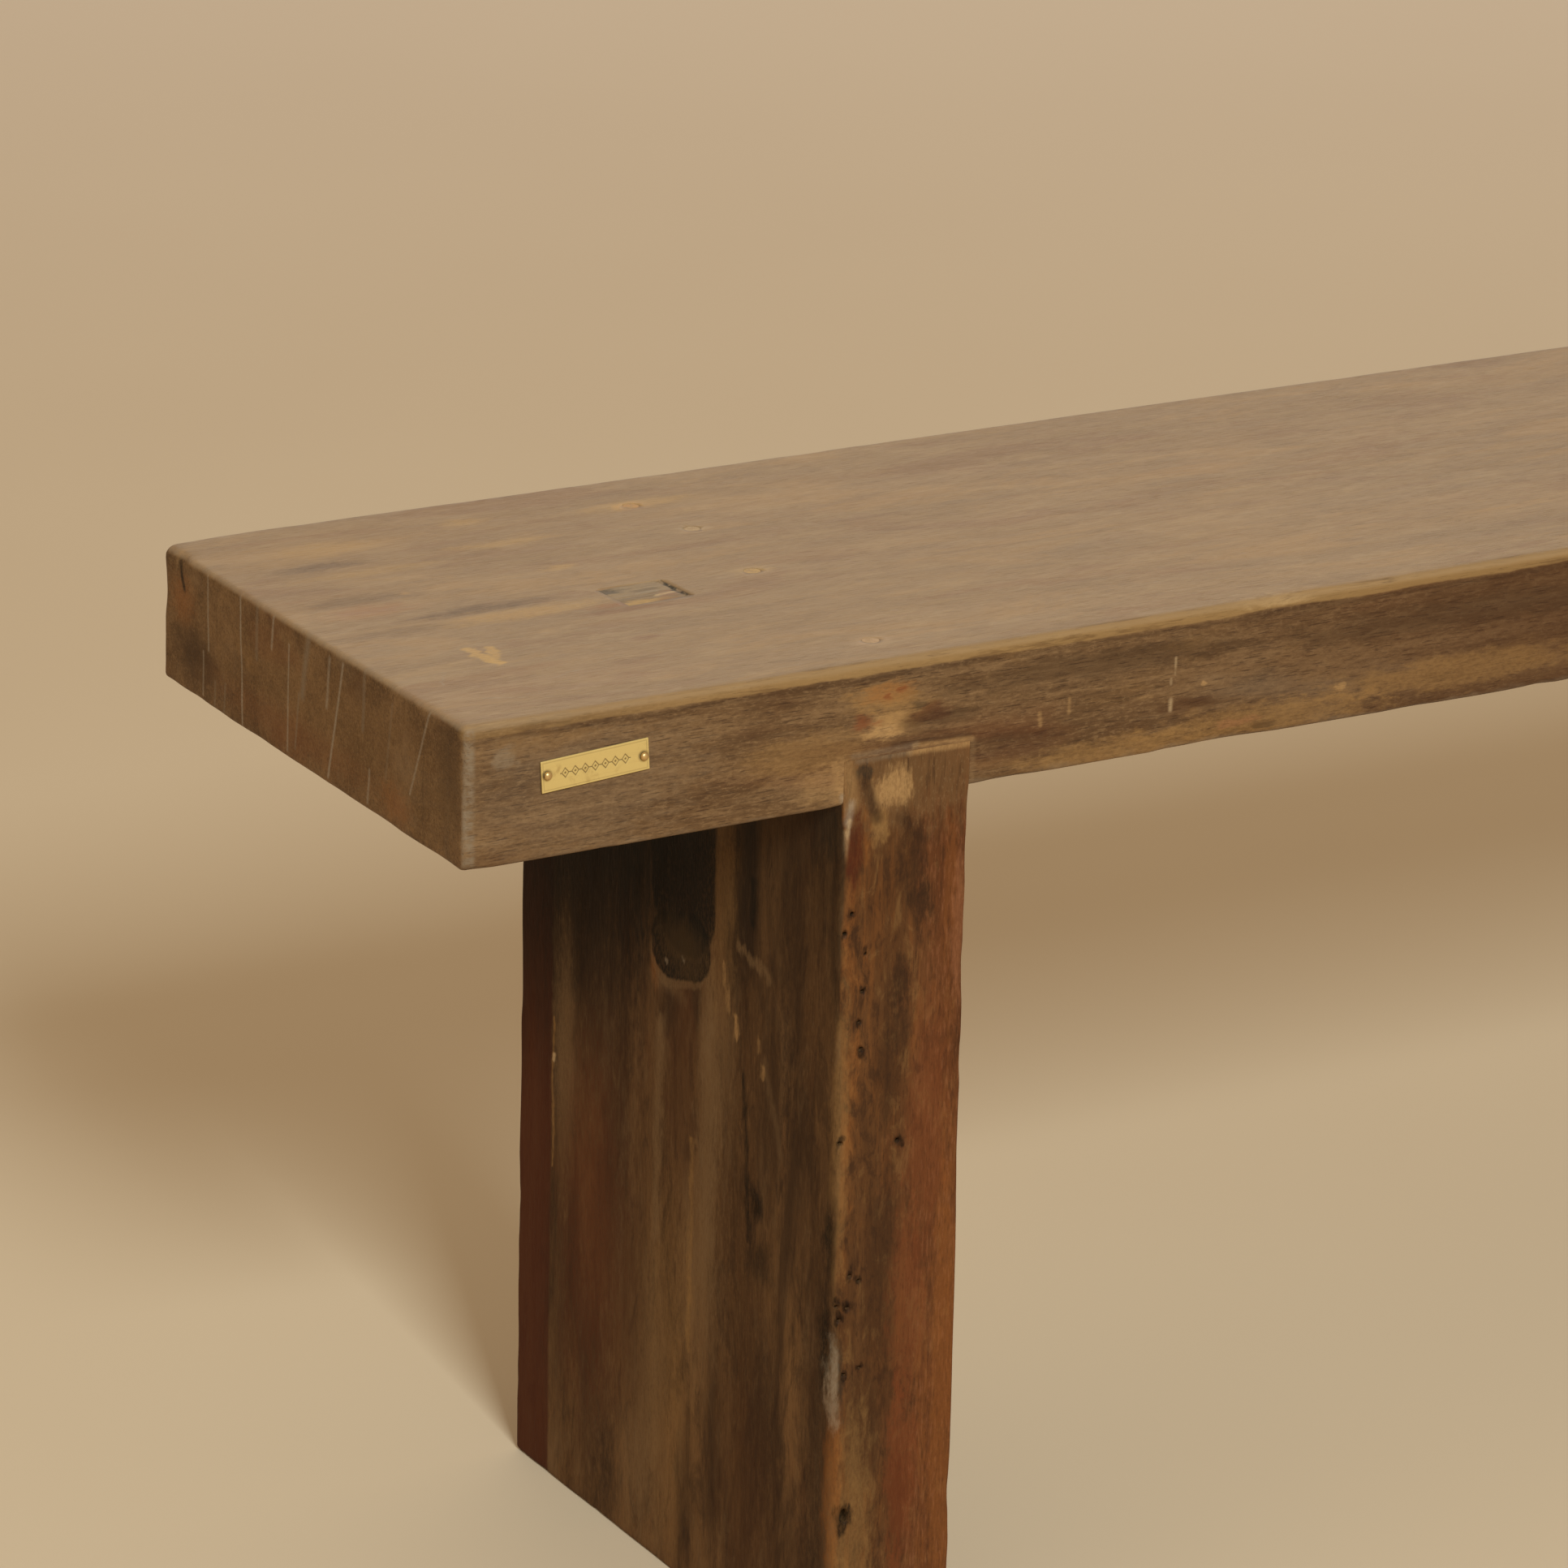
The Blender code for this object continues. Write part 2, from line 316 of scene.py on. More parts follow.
SEAT_TONES = srgb(62, 42, 25), srgb(101, 71, 42), srgb(139, 107, 72)
LEG_TONES = srgb(50, 31, 16), srgb(98, 66, 37), srgb(126, 91, 56)
PATCH_TONES = srgb(84, 64, 44), srgb(126, 102, 74), srgb(160, 138, 106)
# The seat top's pale tone: dust, and partly painted sheen of the light on the top.
DUST_AND_SHEEN = srgb(165, 131, 92)
CHAMFER_OCHRE = srgb(143, 109, 66)
LEG_FRONT_BROWN = srgb(80, 48, 23)
PLUG_TONES = srgb(180, 144, 108), srgb(184, 146, 92), srgb(178, 149, 112), srgb(186, 138, 86)
COLORS = {
    "black": srgb(15, 10, 6),
    "dark": srgb(46, 29, 17),
    "umber": srgb(70, 41, 22),
    "rust": srgb(110, 56, 28),
    "red": srgb(72, 32, 16),
    "orange": srgb(136, 80, 35),
    "ochre": srgb(136, 99, 56),
    "fawn": srgb(116, 88, 58),
    "tan": srgb(166, 126, 79),
    "pale": srgb(190, 158, 116),
    "pink": srgb(144, 92, 60),
    "grey": srgb(122, 103, 81),
    "ash": srgb(148, 131, 110),
    "slate": srgb(48, 37, 26),
    "gold": srgb(184, 142, 80),
}


class Paint:
    """One node material. It keeps the colour and the height that have been laid on so far."""

    def __init__(self, name, color):
        self.material = bpy.data.materials.new(name)
        self.material.use_nodes = True
        self.tree = self.material.node_tree
        self.shader = self.tree.nodes["Principled BSDF"]
        self.place = self.node("TexCoord").outputs["Object"]
        self.color = color
        self.height = 0.0

    def node(self, kind, inputs=(), **settings):
        """Add a node. Inputs are (name or number, socket or value) pairs."""
        made = self.tree.nodes.new("ShaderNode" + kind)
        for key, value in settings.items():
            setattr(made, key, value)
        for key, value in inputs:
            if isinstance(value, bpy.types.NodeSocket):
                self.tree.links.new(value, made.inputs[key])
            else:
                made.inputs[key].default_value = value
        return made

    def math(self, operation, first, second=0.0, third=0.0, clamp=False):
        inputs = ((0, first), (1, second), (2, third))
        return self.node("Math", inputs, operation=operation, use_clamp=clamp).outputs[0]

    def scaled(self, value, factor, offset):
        return self.math("MULTIPLY_ADD", value, factor, offset)

    def times(self, first, second):
        return self.math("MULTIPLY", first, second)

    def vector(self, operation, *values, output=0):
        return self.node("VectorMath", enumerate(values), operation=operation).outputs[output]

    def smooth(self, value, low, high):
        """0 up to low and 1 from high, or the other way round where low is above high."""
        inputs = (("Value", value), ("From Min", low), ("From Max", high))
        return self.node("MapRange", inputs, interpolation_type="SMOOTHSTEP").outputs["Result"]

    def noise(self, scale, detail=3.0, rough=0.55, warp=0.0, shift=(0.0, 0.0, 0.0), output=0):
        """Noise with so many features per metre along each axis."""
        place = self.vector("MULTIPLY_ADD", self.place, scale, shift)
        inputs = (("Scale", 1.0), ("Detail", detail), ("Roughness", rough), ("Distortion", warp))
        return self.node("TexNoise", (("Vector", place), *inputs)).outputs[output]

    def blend(self, share, first, second):
        inputs = ((0, share), (6, first), (7, second))
        return self.node("Mix", inputs, data_type="RGBA").outputs[2]

    def paint(self, mask, color, strength=1.0):
        """Lay a colour, or one of COLORS by name, over what has been painted so far."""
        tone = COLORS[color] if isinstance(color, str) else color
        share = mask if strength == 1.0 else self.times(mask, strength)
        self.color = self.blend(share, self.color, tone)

    def raise_by(self, amount, depth):
        """Add a socket's value, times a depth in metres, to the height."""
        self.height = self.scaled(amount, depth, self.height)

    def finish(self, roughness, bump=True, **constants):
        self.tree.links.new(self.color, self.shader.inputs["Base Color"])
        for key, value in (("Roughness", roughness), *constants.items()):
            name = key.replace("_", " ")
            if isinstance(value, bpy.types.NodeSocket):
                self.tree.links.new(value, self.shader.inputs[name])
            else:
                self.shader.inputs[name].default_value = value
        if bump:
            inputs = (("Height", self.height), ("Distance", 1.0), ("Strength", 1.0))
            normal = self.node("Bump", inputs).outputs["Normal"]
            self.tree.links.new(normal, self.shader.inputs["Normal"])
        return self.material


def grain(axis, along, across):
    """One value for the axis along the grain, and another for the two across it."""
    return tuple(along if k == axis else across for k in range(3))


class Wood(Paint):
    """Weathered hardwood with its grain along one axis, and marks torn along that grain."""

    def __init__(self, name, axis, tones, contrast, seed):
        super().__init__(name, tones[1])
        dark, middle, light = tones
        shift = (seed * 1.7, seed * 2.3, seed * 3.1)
        broad = self.noise(grain(axis, 3, 26), 4, 0.60, 0.6, shift)
        band = self.noise(grain(axis, 9, 85), 4, 0.65, 0.4, shift)
        self.streak = self.noise(grain(axis, 30, 280), 4, 0.65, 0.3, shift)
        self.fibre = self.noise(grain(axis, 140, 900), 3, 0.65, 0.2, shift)
        self.speck = self.noise(grain(axis, 420, 900), 3, 0.65, 0.0, shift)
        pore = self.noise(grain(axis, 110, 1500), 2, 0.50, 0.0, shift)
        self.color = self.blend(self.smooth(broad, 0.30, 0.70), dark, light)
        self.color = self.blend(0.50, self.color, middle)
        self.vary(band, dark, 0.40 * contrast, light, 0.32 * contrast)
        self.vary(self.streak, dark, 0.38 * contrast, light, 0.28 * contrast)
        self.vary(self.fibre, dark, 0.40 * contrast, light, 0.32 * contrast)
        self.vary(self.speck, dark, 0.32 * contrast, light, 0.32 * contrast)
        open_pore = self.smooth(pore, 0.58, 0.70)
        self.paint(open_pore, "dark", 0.55 * contrast)
        self.raise_by(self.streak, 0.12 * contrast * MM)
        self.raise_by(self.fibre, 0.08 * contrast * MM)
        self.raise_by(open_pore, -0.10 * contrast * MM)
        self.tear = self.noise(grain(axis, 110, 330), 5, 0.72, 0.0, (5, 3, 8))
        self.broken = self.scaled(self.smooth(self.speck, 0.62, 0.42), 0.3, 0.7)
        shake = self.noise(grain(axis, 60, 160), 3, 0.60, 0.0, (3, 6, 9), output=1)
        centred = self.vector("SUBTRACT", shake, (0.5, 0.5, 0.5))
        reach = grain(axis, 14 * MM, 6 * MM)
        self.torn_place = self.vector("MULTIPLY_ADD", centred, reach, self.place)
        split = self.node("SeparateXYZ", ((0, self.place),))
        self.x, self.y, self.z = split.outputs

    def vary(self, noise, dark, dark_strength, light, light_strength):
        """Darken where the noise is high, and lighten where it is low."""
        self.paint(self.smooth(noise, 0.53, 0.68), dark, dark_strength)
        self.paint(self.smooth(noise, 0.47, 0.33), light, light_strength)

    def flecks(self, noise, low, high, color, strength, mask=1.0):
        """Paint where the noise passes from low to high, on the mask only."""
        share = self.smooth(noise, low, high)
        self.paint(share if mask == 1.0 else self.times(mask, share), color, strength)

    def near(self, value, edge, start, end):
        """0 at start and 1 at end, both in millimetres from an edge of the bench."""
        return self.smooth(value, edge + start * MM, edge + end * MM)

    def between(self, value, low, high, soft):
        """1 from low to high, fading over soft on both sides."""
        return self.times(self.smooth(value, low - soft, low), self.smooth(value, high + soft, high))

    def torn(self, away, soft, tear):
        """A broken mask that is 1 where away is below 1, with its border frayed along the grain."""
        frayed = self.scaled(self.tear, tear, away)
        middle = 1 + tear / 2
        return self.times(self.smooth(frayed, middle + soft, middle - soft), self.broken)

    def spot(self, centre, radii, soft, tear=2.4):
        """A blot with the given half sizes."""
        across = self.vector("SUBTRACT", self.torn_place, centre)
        across = self.vector("DIVIDE", across, radii)
        return self.torn(self.vector("LENGTH", across, output=1), soft, tear)

    def stroke(self, start, end, width, soft, tear):
        """A line: frayed with the grain, or a straight scratch where the tear is 1 or less."""
        run = Vector(end) - Vector(start)
        place = self.torn_place if tear > 1 else self.place
        from_start = self.vector("SUBTRACT", place, tuple(start))
        along = self.vector("DOT_PRODUCT", from_start, tuple(run / run.length_squared), output=1)
        along = self.math("MULTIPLY", along, 1.0, clamp=True)
        inputs = ((0, tuple(run)), ("Scale", along))
        nearest = self.node("VectorMath", inputs, operation="SCALE").outputs[0]
        away = self.vector("DISTANCE", from_start, nearest, output=1)
        return self.torn(self.math("DIVIDE", away, width), soft, tear)

    def add_spots(self, face, spots, soft=0.45):
        """Paint spots: (colour, centre, half sizes, strength), the lengths in millimetres."""
        for color, *numbers, strength in spots:
            centre = on_face(face, numbers[:2], face[1])
            radii = on_face(face, numbers[2:], MARK_DEPTH)
            mask = self.spot(from_corner(*centre), mm(*radii), soft)
            self.paint(mask, color, strength)

    def add_strokes(self, face, strokes, soft=0.5, tear=3.0):
        """Paint lines: (colour, start, end, half width, strength), the lengths in millimetres."""
        for color, *numbers, width, strength in strokes:
            start = from_corner(*on_face(face, numbers[:2], face[1]))
            end = from_corner(*on_face(face, numbers[2:], face[1]))
            mask = self.stroke(start, end, width * MM, soft, tear)
            self.paint(mask, color, strength)


def from_corner(from_left, from_front, up):
    """A point given in millimetres from the seat's left end, its front face and the floor."""
    return (LEFT_END + from_left * MM, FRONT + from_front * MM, up * MM)


def on_face(face, values, through):
    """Two values in a face, from the left or the front first, joined by one value square to it."""
    joined = list(values)
    joined.insert(face[0], through)
    return joined


# The painted faces: the axis square to each, and its place in millimetres from the corner.
SEAT_TOP, SEAT_END, LEG_SIDE, WHOLE_FRONT = (Z, 450), (X, 0), (X, 170), (Y, 0)
MARK_DEPTH = 8


SEAT_TOP_SPOTS = (
    ("ochre", 70, 225, 90, 40, 0.25), ("umber", 45, 213, 18, 5, 0.55), ("umber", 40, 165, 24, 6, 0.4),
    ("umber", 77, 133, 26, 4.5, 0.6), ("umber", 30, 120, 22, 5, 0.35), ("gold", 92, 120, 34, 6, 0.5),
    ("gold", 54, 235, 22, 8, 0.32), ("gold", 62, 198, 28, 4, 0.3), ("gold", 126, 210, 20, 4, 0.4),
    ("gold", 205, 236, 24, 5, 0.45), ("gold", 198, 235, 6, 3.5, 0.7), ("tan", 59, 166, 2.5, 2, 0.7),
    ("gold", 132, 169, 7, 3.5, 0.5), ("gold", 126, 244, 9, 5, 0.4), ("pink", 35, 150, 16, 7, 0.45),
    ("rust", 132, 106, 20, 3, 0.4), ("orange", 128, 113, 11, 3, 0.6), ("rust", 118, 70, 6, 3, 0.4),
)
SEAT_TOP_STROKES = (
    ("gold", 47, 88, 49.5, 67, 2.5, 0.85), ("gold", 56, 85, 50.5, 68, 2.2, 0.8),
    ("pale", 4, 3, 20, 2.5, 0.9, 0.5), ("ash", 58, 40, 92, 52, 0.5, 0.35),
    ("ash", 24, 30, 40, 24, 0.5, 0.4), ("ash", 18, 52, 26, 66, 0.5, 0.35),
)
SEAT_FRONT_SPOTS = (
    ("ochre", 155, 416, 30, 8, 0.4), ("ochre", 186, 435, 14, 5, 0.7), ("orange", 190, 436, 12, 4, 0.4),
    ("tan", 188.5, 423, 8, 5.5, 0.75), ("ochre", 196, 428, 12, 8, 0.5), ("rust", 188, 435, 2, 1.2, 0.7),
    ("rust", 195, 437, 3, 1, 0.7), ("rust", 178, 426, 6, 3, 0.65), ("grey", 50, 418, 50, 24, 0.16),
    ("red", 209, 425, 9, 3.5, 0.6), ("dark", 212, 422, 17, 3.6, 0.45), ("slate", 202, 429.5, 4, 1.6, 0.6),
    ("slate", 250, 405, 20, 6, 0.25), ("tan", 162, 402, 12, 8, 0.25), ("grey", 18, 435, 5, 4, 0.5),
    ("umber", 335, 410, 14, 3, 0.55), ("dark", 290, 434, 70, 5, 0.45), ("dark", 470, 430, 90, 6, 0.35),
    ("ochre", 300, 395, 46, 6, 0.55), ("ochre", 372, 398, 52, 7, 0.55), ("ochre", 470, 405, 60, 7, 0.45),
    ("pink", 356, 398.5, 9, 2, 0.35), ("tan", 409.5, 406.5, 2, 1.6, 0.45),
    ("dark", 371, 396, 5, 1.4, 0.5), ("tan", 339.7, 418, 1.8, 1.8, 0.55), ("pale", 373, 448, 16, 2, 0.75),
)
SEAT_FRONT_STROKES = (
    ("dark", 192, 414.2, 228, 412.8, 1.2, 0.55), ("tan", 202, 412.2, 229, 411.4, 1, 0.6),
    ("grey", 174, 412, 203, 412.4, 1.2, 0.4), ("tan", 167.5, 409, 169, 394, 3, 0.35),
    ("ash", 169, 396, 170, 391, 1.2, 0.5), ("fawn", 229.6, 411, 229.6, 394, 1.2, 0.5),
    ("tan", 261.5, 412, 261, 417, 0.9, 0.6), ("tan", 275, 415, 275, 421, 0.8, 0.55),
    ("tan", 310, 416, 315, 416, 0.9, 0.35), ("pale", 326, 424, 326, 431, 0.6, 0.5),
    ("pale", 324.2, 420, 324.2, 422, 0.7, 0.6), ("pale", 324.3, 409, 324.3, 413, 0.9, 0.65),
)
SEAT_END_SPOTS = (
    ("orange", 253, 431, 10, 9, 0.45), ("dark", 242, 410, 15, 11, 0.6), ("orange", 57, 402, 11, 7, 0.45),
    ("dark", 12, 427, 9, 22, 0.55), ("rust", 150, 404, 60, 7, 0.3), ("ochre", 100, 420, 120, 22, 0.22),
)
SEAT_END_STROKES = (
    ("black", 256, 447, 251, 436, 1.2, 1), ("ash", 228, 449, 228, 416, 0.6, 0.7),
    ("ash", 233, 414, 234, 395, 0.6, 0.55), ("ash", 197, 449, 196, 393, 0.6, 0.8),
    ("grey", 181, 448, 182, 426, 1.1, 0.6), ("ash", 166, 449, 168, 434, 0.7, 0.7),
    ("ash", 152, 440, 154, 395, 0.6, 0.65), ("grey", 134, 449, 140, 422, 1.8, 0.8),
    ("grey", 143, 422, 147, 398, 0.7, 0.6), ("ash", 115, 445, 118, 424, 0.9, 0.6),
    ("ash", 103, 446, 117, 395, 0.7, 0.75), ("grey", 84, 449, 86, 424, 1.1, 0.65),
    ("ash", 28, 449, 45, 410, 0.6, 0.6), ("ash", 80, 409, 82, 395, 0.7, 0.6),
    ("grey", 60, 442, 66, 410, 0.7, 0.4), ("grey", 212, 406, 214, 392, 0.7, 0.6),
    ("grey", 222, 404, 223, 392, 0.7, 0.6),
)


def seat_material():
    wood = Wood("seat_wood_worn", X, SEAT_TONES, 1.0, 1)
    blotch = wood.noise((7, 14, 30), 4, 0.65, 0.5, (4, 8, 1))
    wood.flecks(blotch, 0.54, 0.72, "ochre", 0.45)
    wood.flecks(blotch, 0.44, 0.28, "umber", 0.45)
    tint = wood.noise((4, 16, 22), 3, 0.6, 0.4, (9, 2, 6))
    wood.flecks(tint, 0.56, 0.72, "grey", 0.35)
    wood.flecks(tint, 0.42, 0.30, "rust", 0.22)
    saw = wood.noise((30, 160, 7), 3, 0.6, 0.0, (1, 1, 4))
    at_end = wood.near(wood.math("ABSOLUTE", wood.x), RIGHT_END, -3, -1)
    wood.flecks(saw, 0.60, 0.74, "grey", 0.35, at_end)
    wood.flecks(saw, 0.42, 0.30, "dark", 0.35, at_end)
    wood.paint(at_end, "ochre", 0.10)
    wood.add_spots(SEAT_END, SEAT_END_SPOTS, 0.7)
    wood.add_strokes(SEAT_END, SEAT_END_STROKES, 1.0, 0.8)
    in_front = wood.near(wood.y, FRONT, 8, 3)
    to_right = wood.near(wood.x, LEFT_END, 250, 600)
    wood.paint(in_front, "umber", 0.12)
    wood.paint(wood.times(in_front, to_right), "umber", 0.65)
    wood.add_spots(WHOLE_FRONT, SEAT_FRONT_SPOTS)
    wood.add_strokes(WHOLE_FRONT, SEAT_FRONT_STROKES, 1.0, 1.0)
    on_top = wood.near(wood.z, TOP, -3, -0.5)
    # Paler on the top: dust, and partly painted sheen of the light falling on the top.
    wood.paint(on_top, DUST_AND_SHEEN, 0.60)
    worn = wood.noise((9, 36, 36), 5, 0.68, 0.8, (2, 6, 1))
    wood.flecks(worn, 0.51, 0.64, "rust", 0.21, on_top)
    wood.flecks(worn, 0.47, 0.36, "tan", 0.34, on_top)
    faded = wood.noise((30, 110, 110), 5, 0.72, 0.5, (7, 2, 5))
    wood.flecks(faded, 0.52, 0.64, "umber", 0.12, on_top)
    wood.flecks(faded, 0.48, 0.36, "pale", 0.14, on_top)
    wood.add_spots(SEAT_TOP, SEAT_TOP_SPOTS, 0.7)
    wood.add_strokes(SEAT_TOP, SEAT_TOP_STROKES, 0.5, 1.6)
    smear_filler(wood)
    wear_arrises(wood)
    sheen = wood.scaled(on_top, 0.33, 0.11)
    return wood.finish(wood.scaled(wood.fibre, 0.25, 0.42), Specular_IOR_Level=sheen)


def smear_filler(wood):
    """Filler wiped into the grain around each plug."""
    for side, (number, tone) in itertools.product(SIDES, zip(NUMBERS, PLUG_TONES)):
        low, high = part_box(f"filler_plug_{side}_{number}")
        middle = settled((low.x / 2 + high.x / 2, low.y / 2 + high.y / 2, TOP))
        smear = wood.spot(tuple(middle), mm(7, 4, MARK_DEPTH), 0.9)
        wood.paint(smear, tone, 0.55)


def wear_arrises(wood):
    """Rubbed, paler wood along the seat's arrises, ochre and crisp below along the front of its top."""
    arris = wood.node("Attribute", attribute_name="arris").outputs["Fac"]
    flutter = wood.noise((50, 140, 140), 3, 0.65, 0.0, (2, 2, 7))
    reach = wood.scaled(flutter, 8 * MM, -1.5 * MM)
    edge = wood.smooth(wood.math("SUBTRACT", reach, arris), 0.0, 2.5 * MM)
    wood.paint(edge, "grey", 0.30)
    near_front = wood.near(wood.y, FRONT, 6, 3)
    waver = wood.noise((26, 26, 26), 4, 0.65, 0.0, (7, 1, 2))
    lower = wood.scaled(waver, 4.0 * MM, wood.z)
    band = wood.near(lower, TOP, -3.6, -2.6)
    below = wood.between(lower, TOP - 5.2 * MM, TOP - 4.4 * MM, 0.8 * MM)
    wood.paint(wood.times(near_front, below), "dark", 0.20)
    bolder = wood.scaled(wood.near(wood.x, LEFT_END, 0, 160), 0.5, 0.5)
    chamfer = wood.times(wood.times(near_front, band), bolder)
    wood.paint(chamfer, CHAMFER_OCHRE, 0.70)
    wood.flecks(wood.streak, 0.55, 0.66, "umber", 0.40, chamfer)
    near_left = wood.near(wood.x, LEFT_END, 6, 3.5)
    on_front = wood.near(wood.y, FRONT, 2.5, 0.8)
    rubbed = wood.smooth(wood.tear, 0.36, 0.60)
    wood.paint(wood.times(wood.times(near_left, on_front), rubbed), "grey", 0.80)


# The black spot at 178.5, 79.5 is painted shade over the big drilled hole.
LEG_FRONT_SPOTS = (
    ("dark", 203, 363, 6, 16, 0.6), ("dark", 208, 345, 5, 11, 0.8), ("dark", 199, 311, 5, 12, 0.75),
    ("dark", 199, 292, 5, 12, 0.6), ("dark", 193, 270, 6, 16, 0.45), ("dark", 194, 163, 7, 14, 0.4),
    ("dark", 193, 205, 6, 24, 0.45), ("dark", 186, 120, 8, 30, 0.35), ("ochre", 182, 60, 9, 60, 0.35),
    ("rust", 213, 250, 9, 50, 0.35), ("rust", 206, 168, 8, 40, 0.4), ("rust", 205, 95, 7, 36, 0.5),
    ("red", 204, 84, 4, 26, 0.4), ("rust", 203, 30, 5, 24, 0.5), ("pink", 226, 335, 3, 30, 0.3),
    ("orange", 224, 130, 6, 90, 0.3), ("orange", 173, 90, 2.5, 50, 0.4), ("ochre", 173, 250, 3, 60, 0.3),
    ("tan", 193, 396, 9, 8, 0.65), ("ochre", 187, 380, 4, 7, 0.6), ("red", 176, 372, 3, 18, 0.8),
    ("slate", 180, 405, 4, 3, 0.85), ("grey", 173, 146, 2.2, 13, 0.75), ("grey", 173, 128, 2, 10, 0.6),
    ("slate", 176, 140, 1.2, 16, 0.6), ("black", 178.5, 79.5, 4, 7, 0.85),
)
LEG_FRONT_STROKES = (
    ("tan", 200, 410, 228, 409.4, 1.3, 0.65), ("grey", 176, 409.6, 200, 410, 1.2, 0.4),
    ("tan", 171.5, 408, 174, 392, 2.8, 0.35), ("ash", 173.5, 392, 172, 384, 1.6, 0.5),
    ("pale", 172.8, 385, 171.3, 377, 0.9, 0.7), ("pale", 171.2, 380, 170.3, 366, 1.4, 0.9),
    ("dark", 180, 400, 186, 384, 2.2, 0.75), ("dark", 196, 383, 208, 372, 2, 0.5),
)
WORM_HOLES = (
    (175.3, 346, 1.6), (180.9, 312, 1.5), (172.4, 338, 1.4), (179.8, 299, 1.3), (180.9, 287, 1.9),
    (173.2, 247, 1.5), (199.3, 244, 1.9), (181.9, 328, 1.0), (178.4, 188, 1.4), (182.7, 185, 1.6),
    (173.1, 175, 1.3), (177.6, 174, 1.6), (174.2, 169, 1.5), (184.0, 146, 1.2), (177.0, 144, 1.3),
)
BIG_HOLE = (178.5, 0, 79.5)
# The first two rows, large black spots high up towards the back, are painted shade under the seat's
# overhang.
LEG_SIDE_SPOTS = (
    ("black", 210, 330, 44, 90, 0.85), ("black", 168, 350, 20, 60, 0.6), ("dark", 196, 230, 26, 60, 0.45),
    ("umber", 196, 170, 30, 60, 0.45), ("dark", 184, 170, 8, 40, 0.5), ("fawn", 231, 210, 9, 46, 0.65),
    ("dark", 234, 90, 11, 70, 0.5), ("orange", 152, 273, 3, 8, 0.45), ("fawn", 140, 268, 14, 4, 0.45),
    ("dark", 140, 256, 7, 10, 0.55), ("dark", 116, 268, 4, 12, 0.65), ("umber", 126, 215, 10, 40, 0.45),
    ("fawn", 106, 215, 8, 60, 0.75), ("fawn", 96, 250, 12, 40, 0.5), ("fawn", 110, 150, 16, 50, 0.45),
    ("ochre", 96, 330, 10, 50, 0.35), ("ochre", 137, 90, 18, 70, 0.35), ("fawn", 150, 70, 12, 60, 0.4),
    ("dark", 38, 310, 8, 60, 0.7), ("slate", 12, 380, 12, 12, 0.6), ("black", 6, 350, 6, 40, 0.45),
    ("dark", 54, 250, 12, 50, 0.65), ("dark", 36, 210, 8, 50, 0.45), ("dark", 222, 116, 10, 36, 0.65),
    ("dark", 205, 90, 9, 26, 0.6), ("dark", 198, 50, 17, 34, 0.65), ("rust", 205, 130, 24, 70, 0.35),
    ("umber", 175, 110, 14, 50, 0.4), ("dark", 55, 102, 12, 38, 0.75), ("dark", 96, 60, 8, 34, 0.55),
    ("dark", 188, 19, 11, 20, 0.6), ("dark", 120, 40, 7, 26, 0.5), ("fawn", 165, 36, 12, 24, 0.45),
    ("dark", 10, 110, 14, 100, 0.7), ("dark", 30, 40, 26, 40, 0.5), ("umber", 70, 60, 20, 50, 0.4),
    ("black", 64.7, 196, 5, 7, 0.8), ("black", 60, 172, 9, 9, 0.6), ("black", 6, 205, 3.5, 14, 0.85),
    ("black", 8, 155, 3.5, 20, 0.75),
)
LEG_SIDE_STROKES = (
    ("ochre", 241, 218, 241, 150, 0.9, 0.7), ("fawn", 147, 250, 148, 150, 3, 0.65),
    ("ochre", 119, 205, 119, 110, 1.8, 0.6), ("fawn", 82, 306, 56, 299, 2.2, 0.7),
    ("black", 70, 337, 70.5, 320, 2.4, 0.75), ("black", 76, 250, 71, 180, 1.9, 0.75),
    ("fawn", 60, 262, 46, 225, 2.2, 0.4), ("tan", 95, 291, 94, 286, 1.5, 0.5),
    ("tan", 91, 283, 90, 276, 1.9, 0.5), ("tan", 84, 272, 83, 266, 1.7, 0.7),
    ("fawn", 105, 262, 105, 250, 2.6, 0.7), ("tan", 65, 268, 65, 264, 1.3, 0.4),
    ("tan", 61, 259, 61, 253, 1.5, 0.55), ("pale", 240, 202, 240, 199, 1.2, 0.8),
)

# The knot on the leg's outer side: black above a paler rim, and greyer inside its round lower end. The
# rim is painted as a lit crescent, the knot's black runs on up to the seat as painted shade under it, and
# two small grey dots are painted glints.
KNOT_AND_SHADE_STROKES = (
    ("fawn", 121, 288, 142, 281, 14, 0.45), ("black", 120, 292, 141, 286, 14.5, 0.92),
    ("black", 129, 312, 129, 400, 26.5, 0.92),
)
KNOT_TINT_AND_GLINTS = (
    ("ochre", 128, 290, 18, 11, 0.14), ("grey", 143, 278, 1.2, 1.4, 0.7),
    ("grey", 129, 284, 1.2, 1.4, 0.6),
)


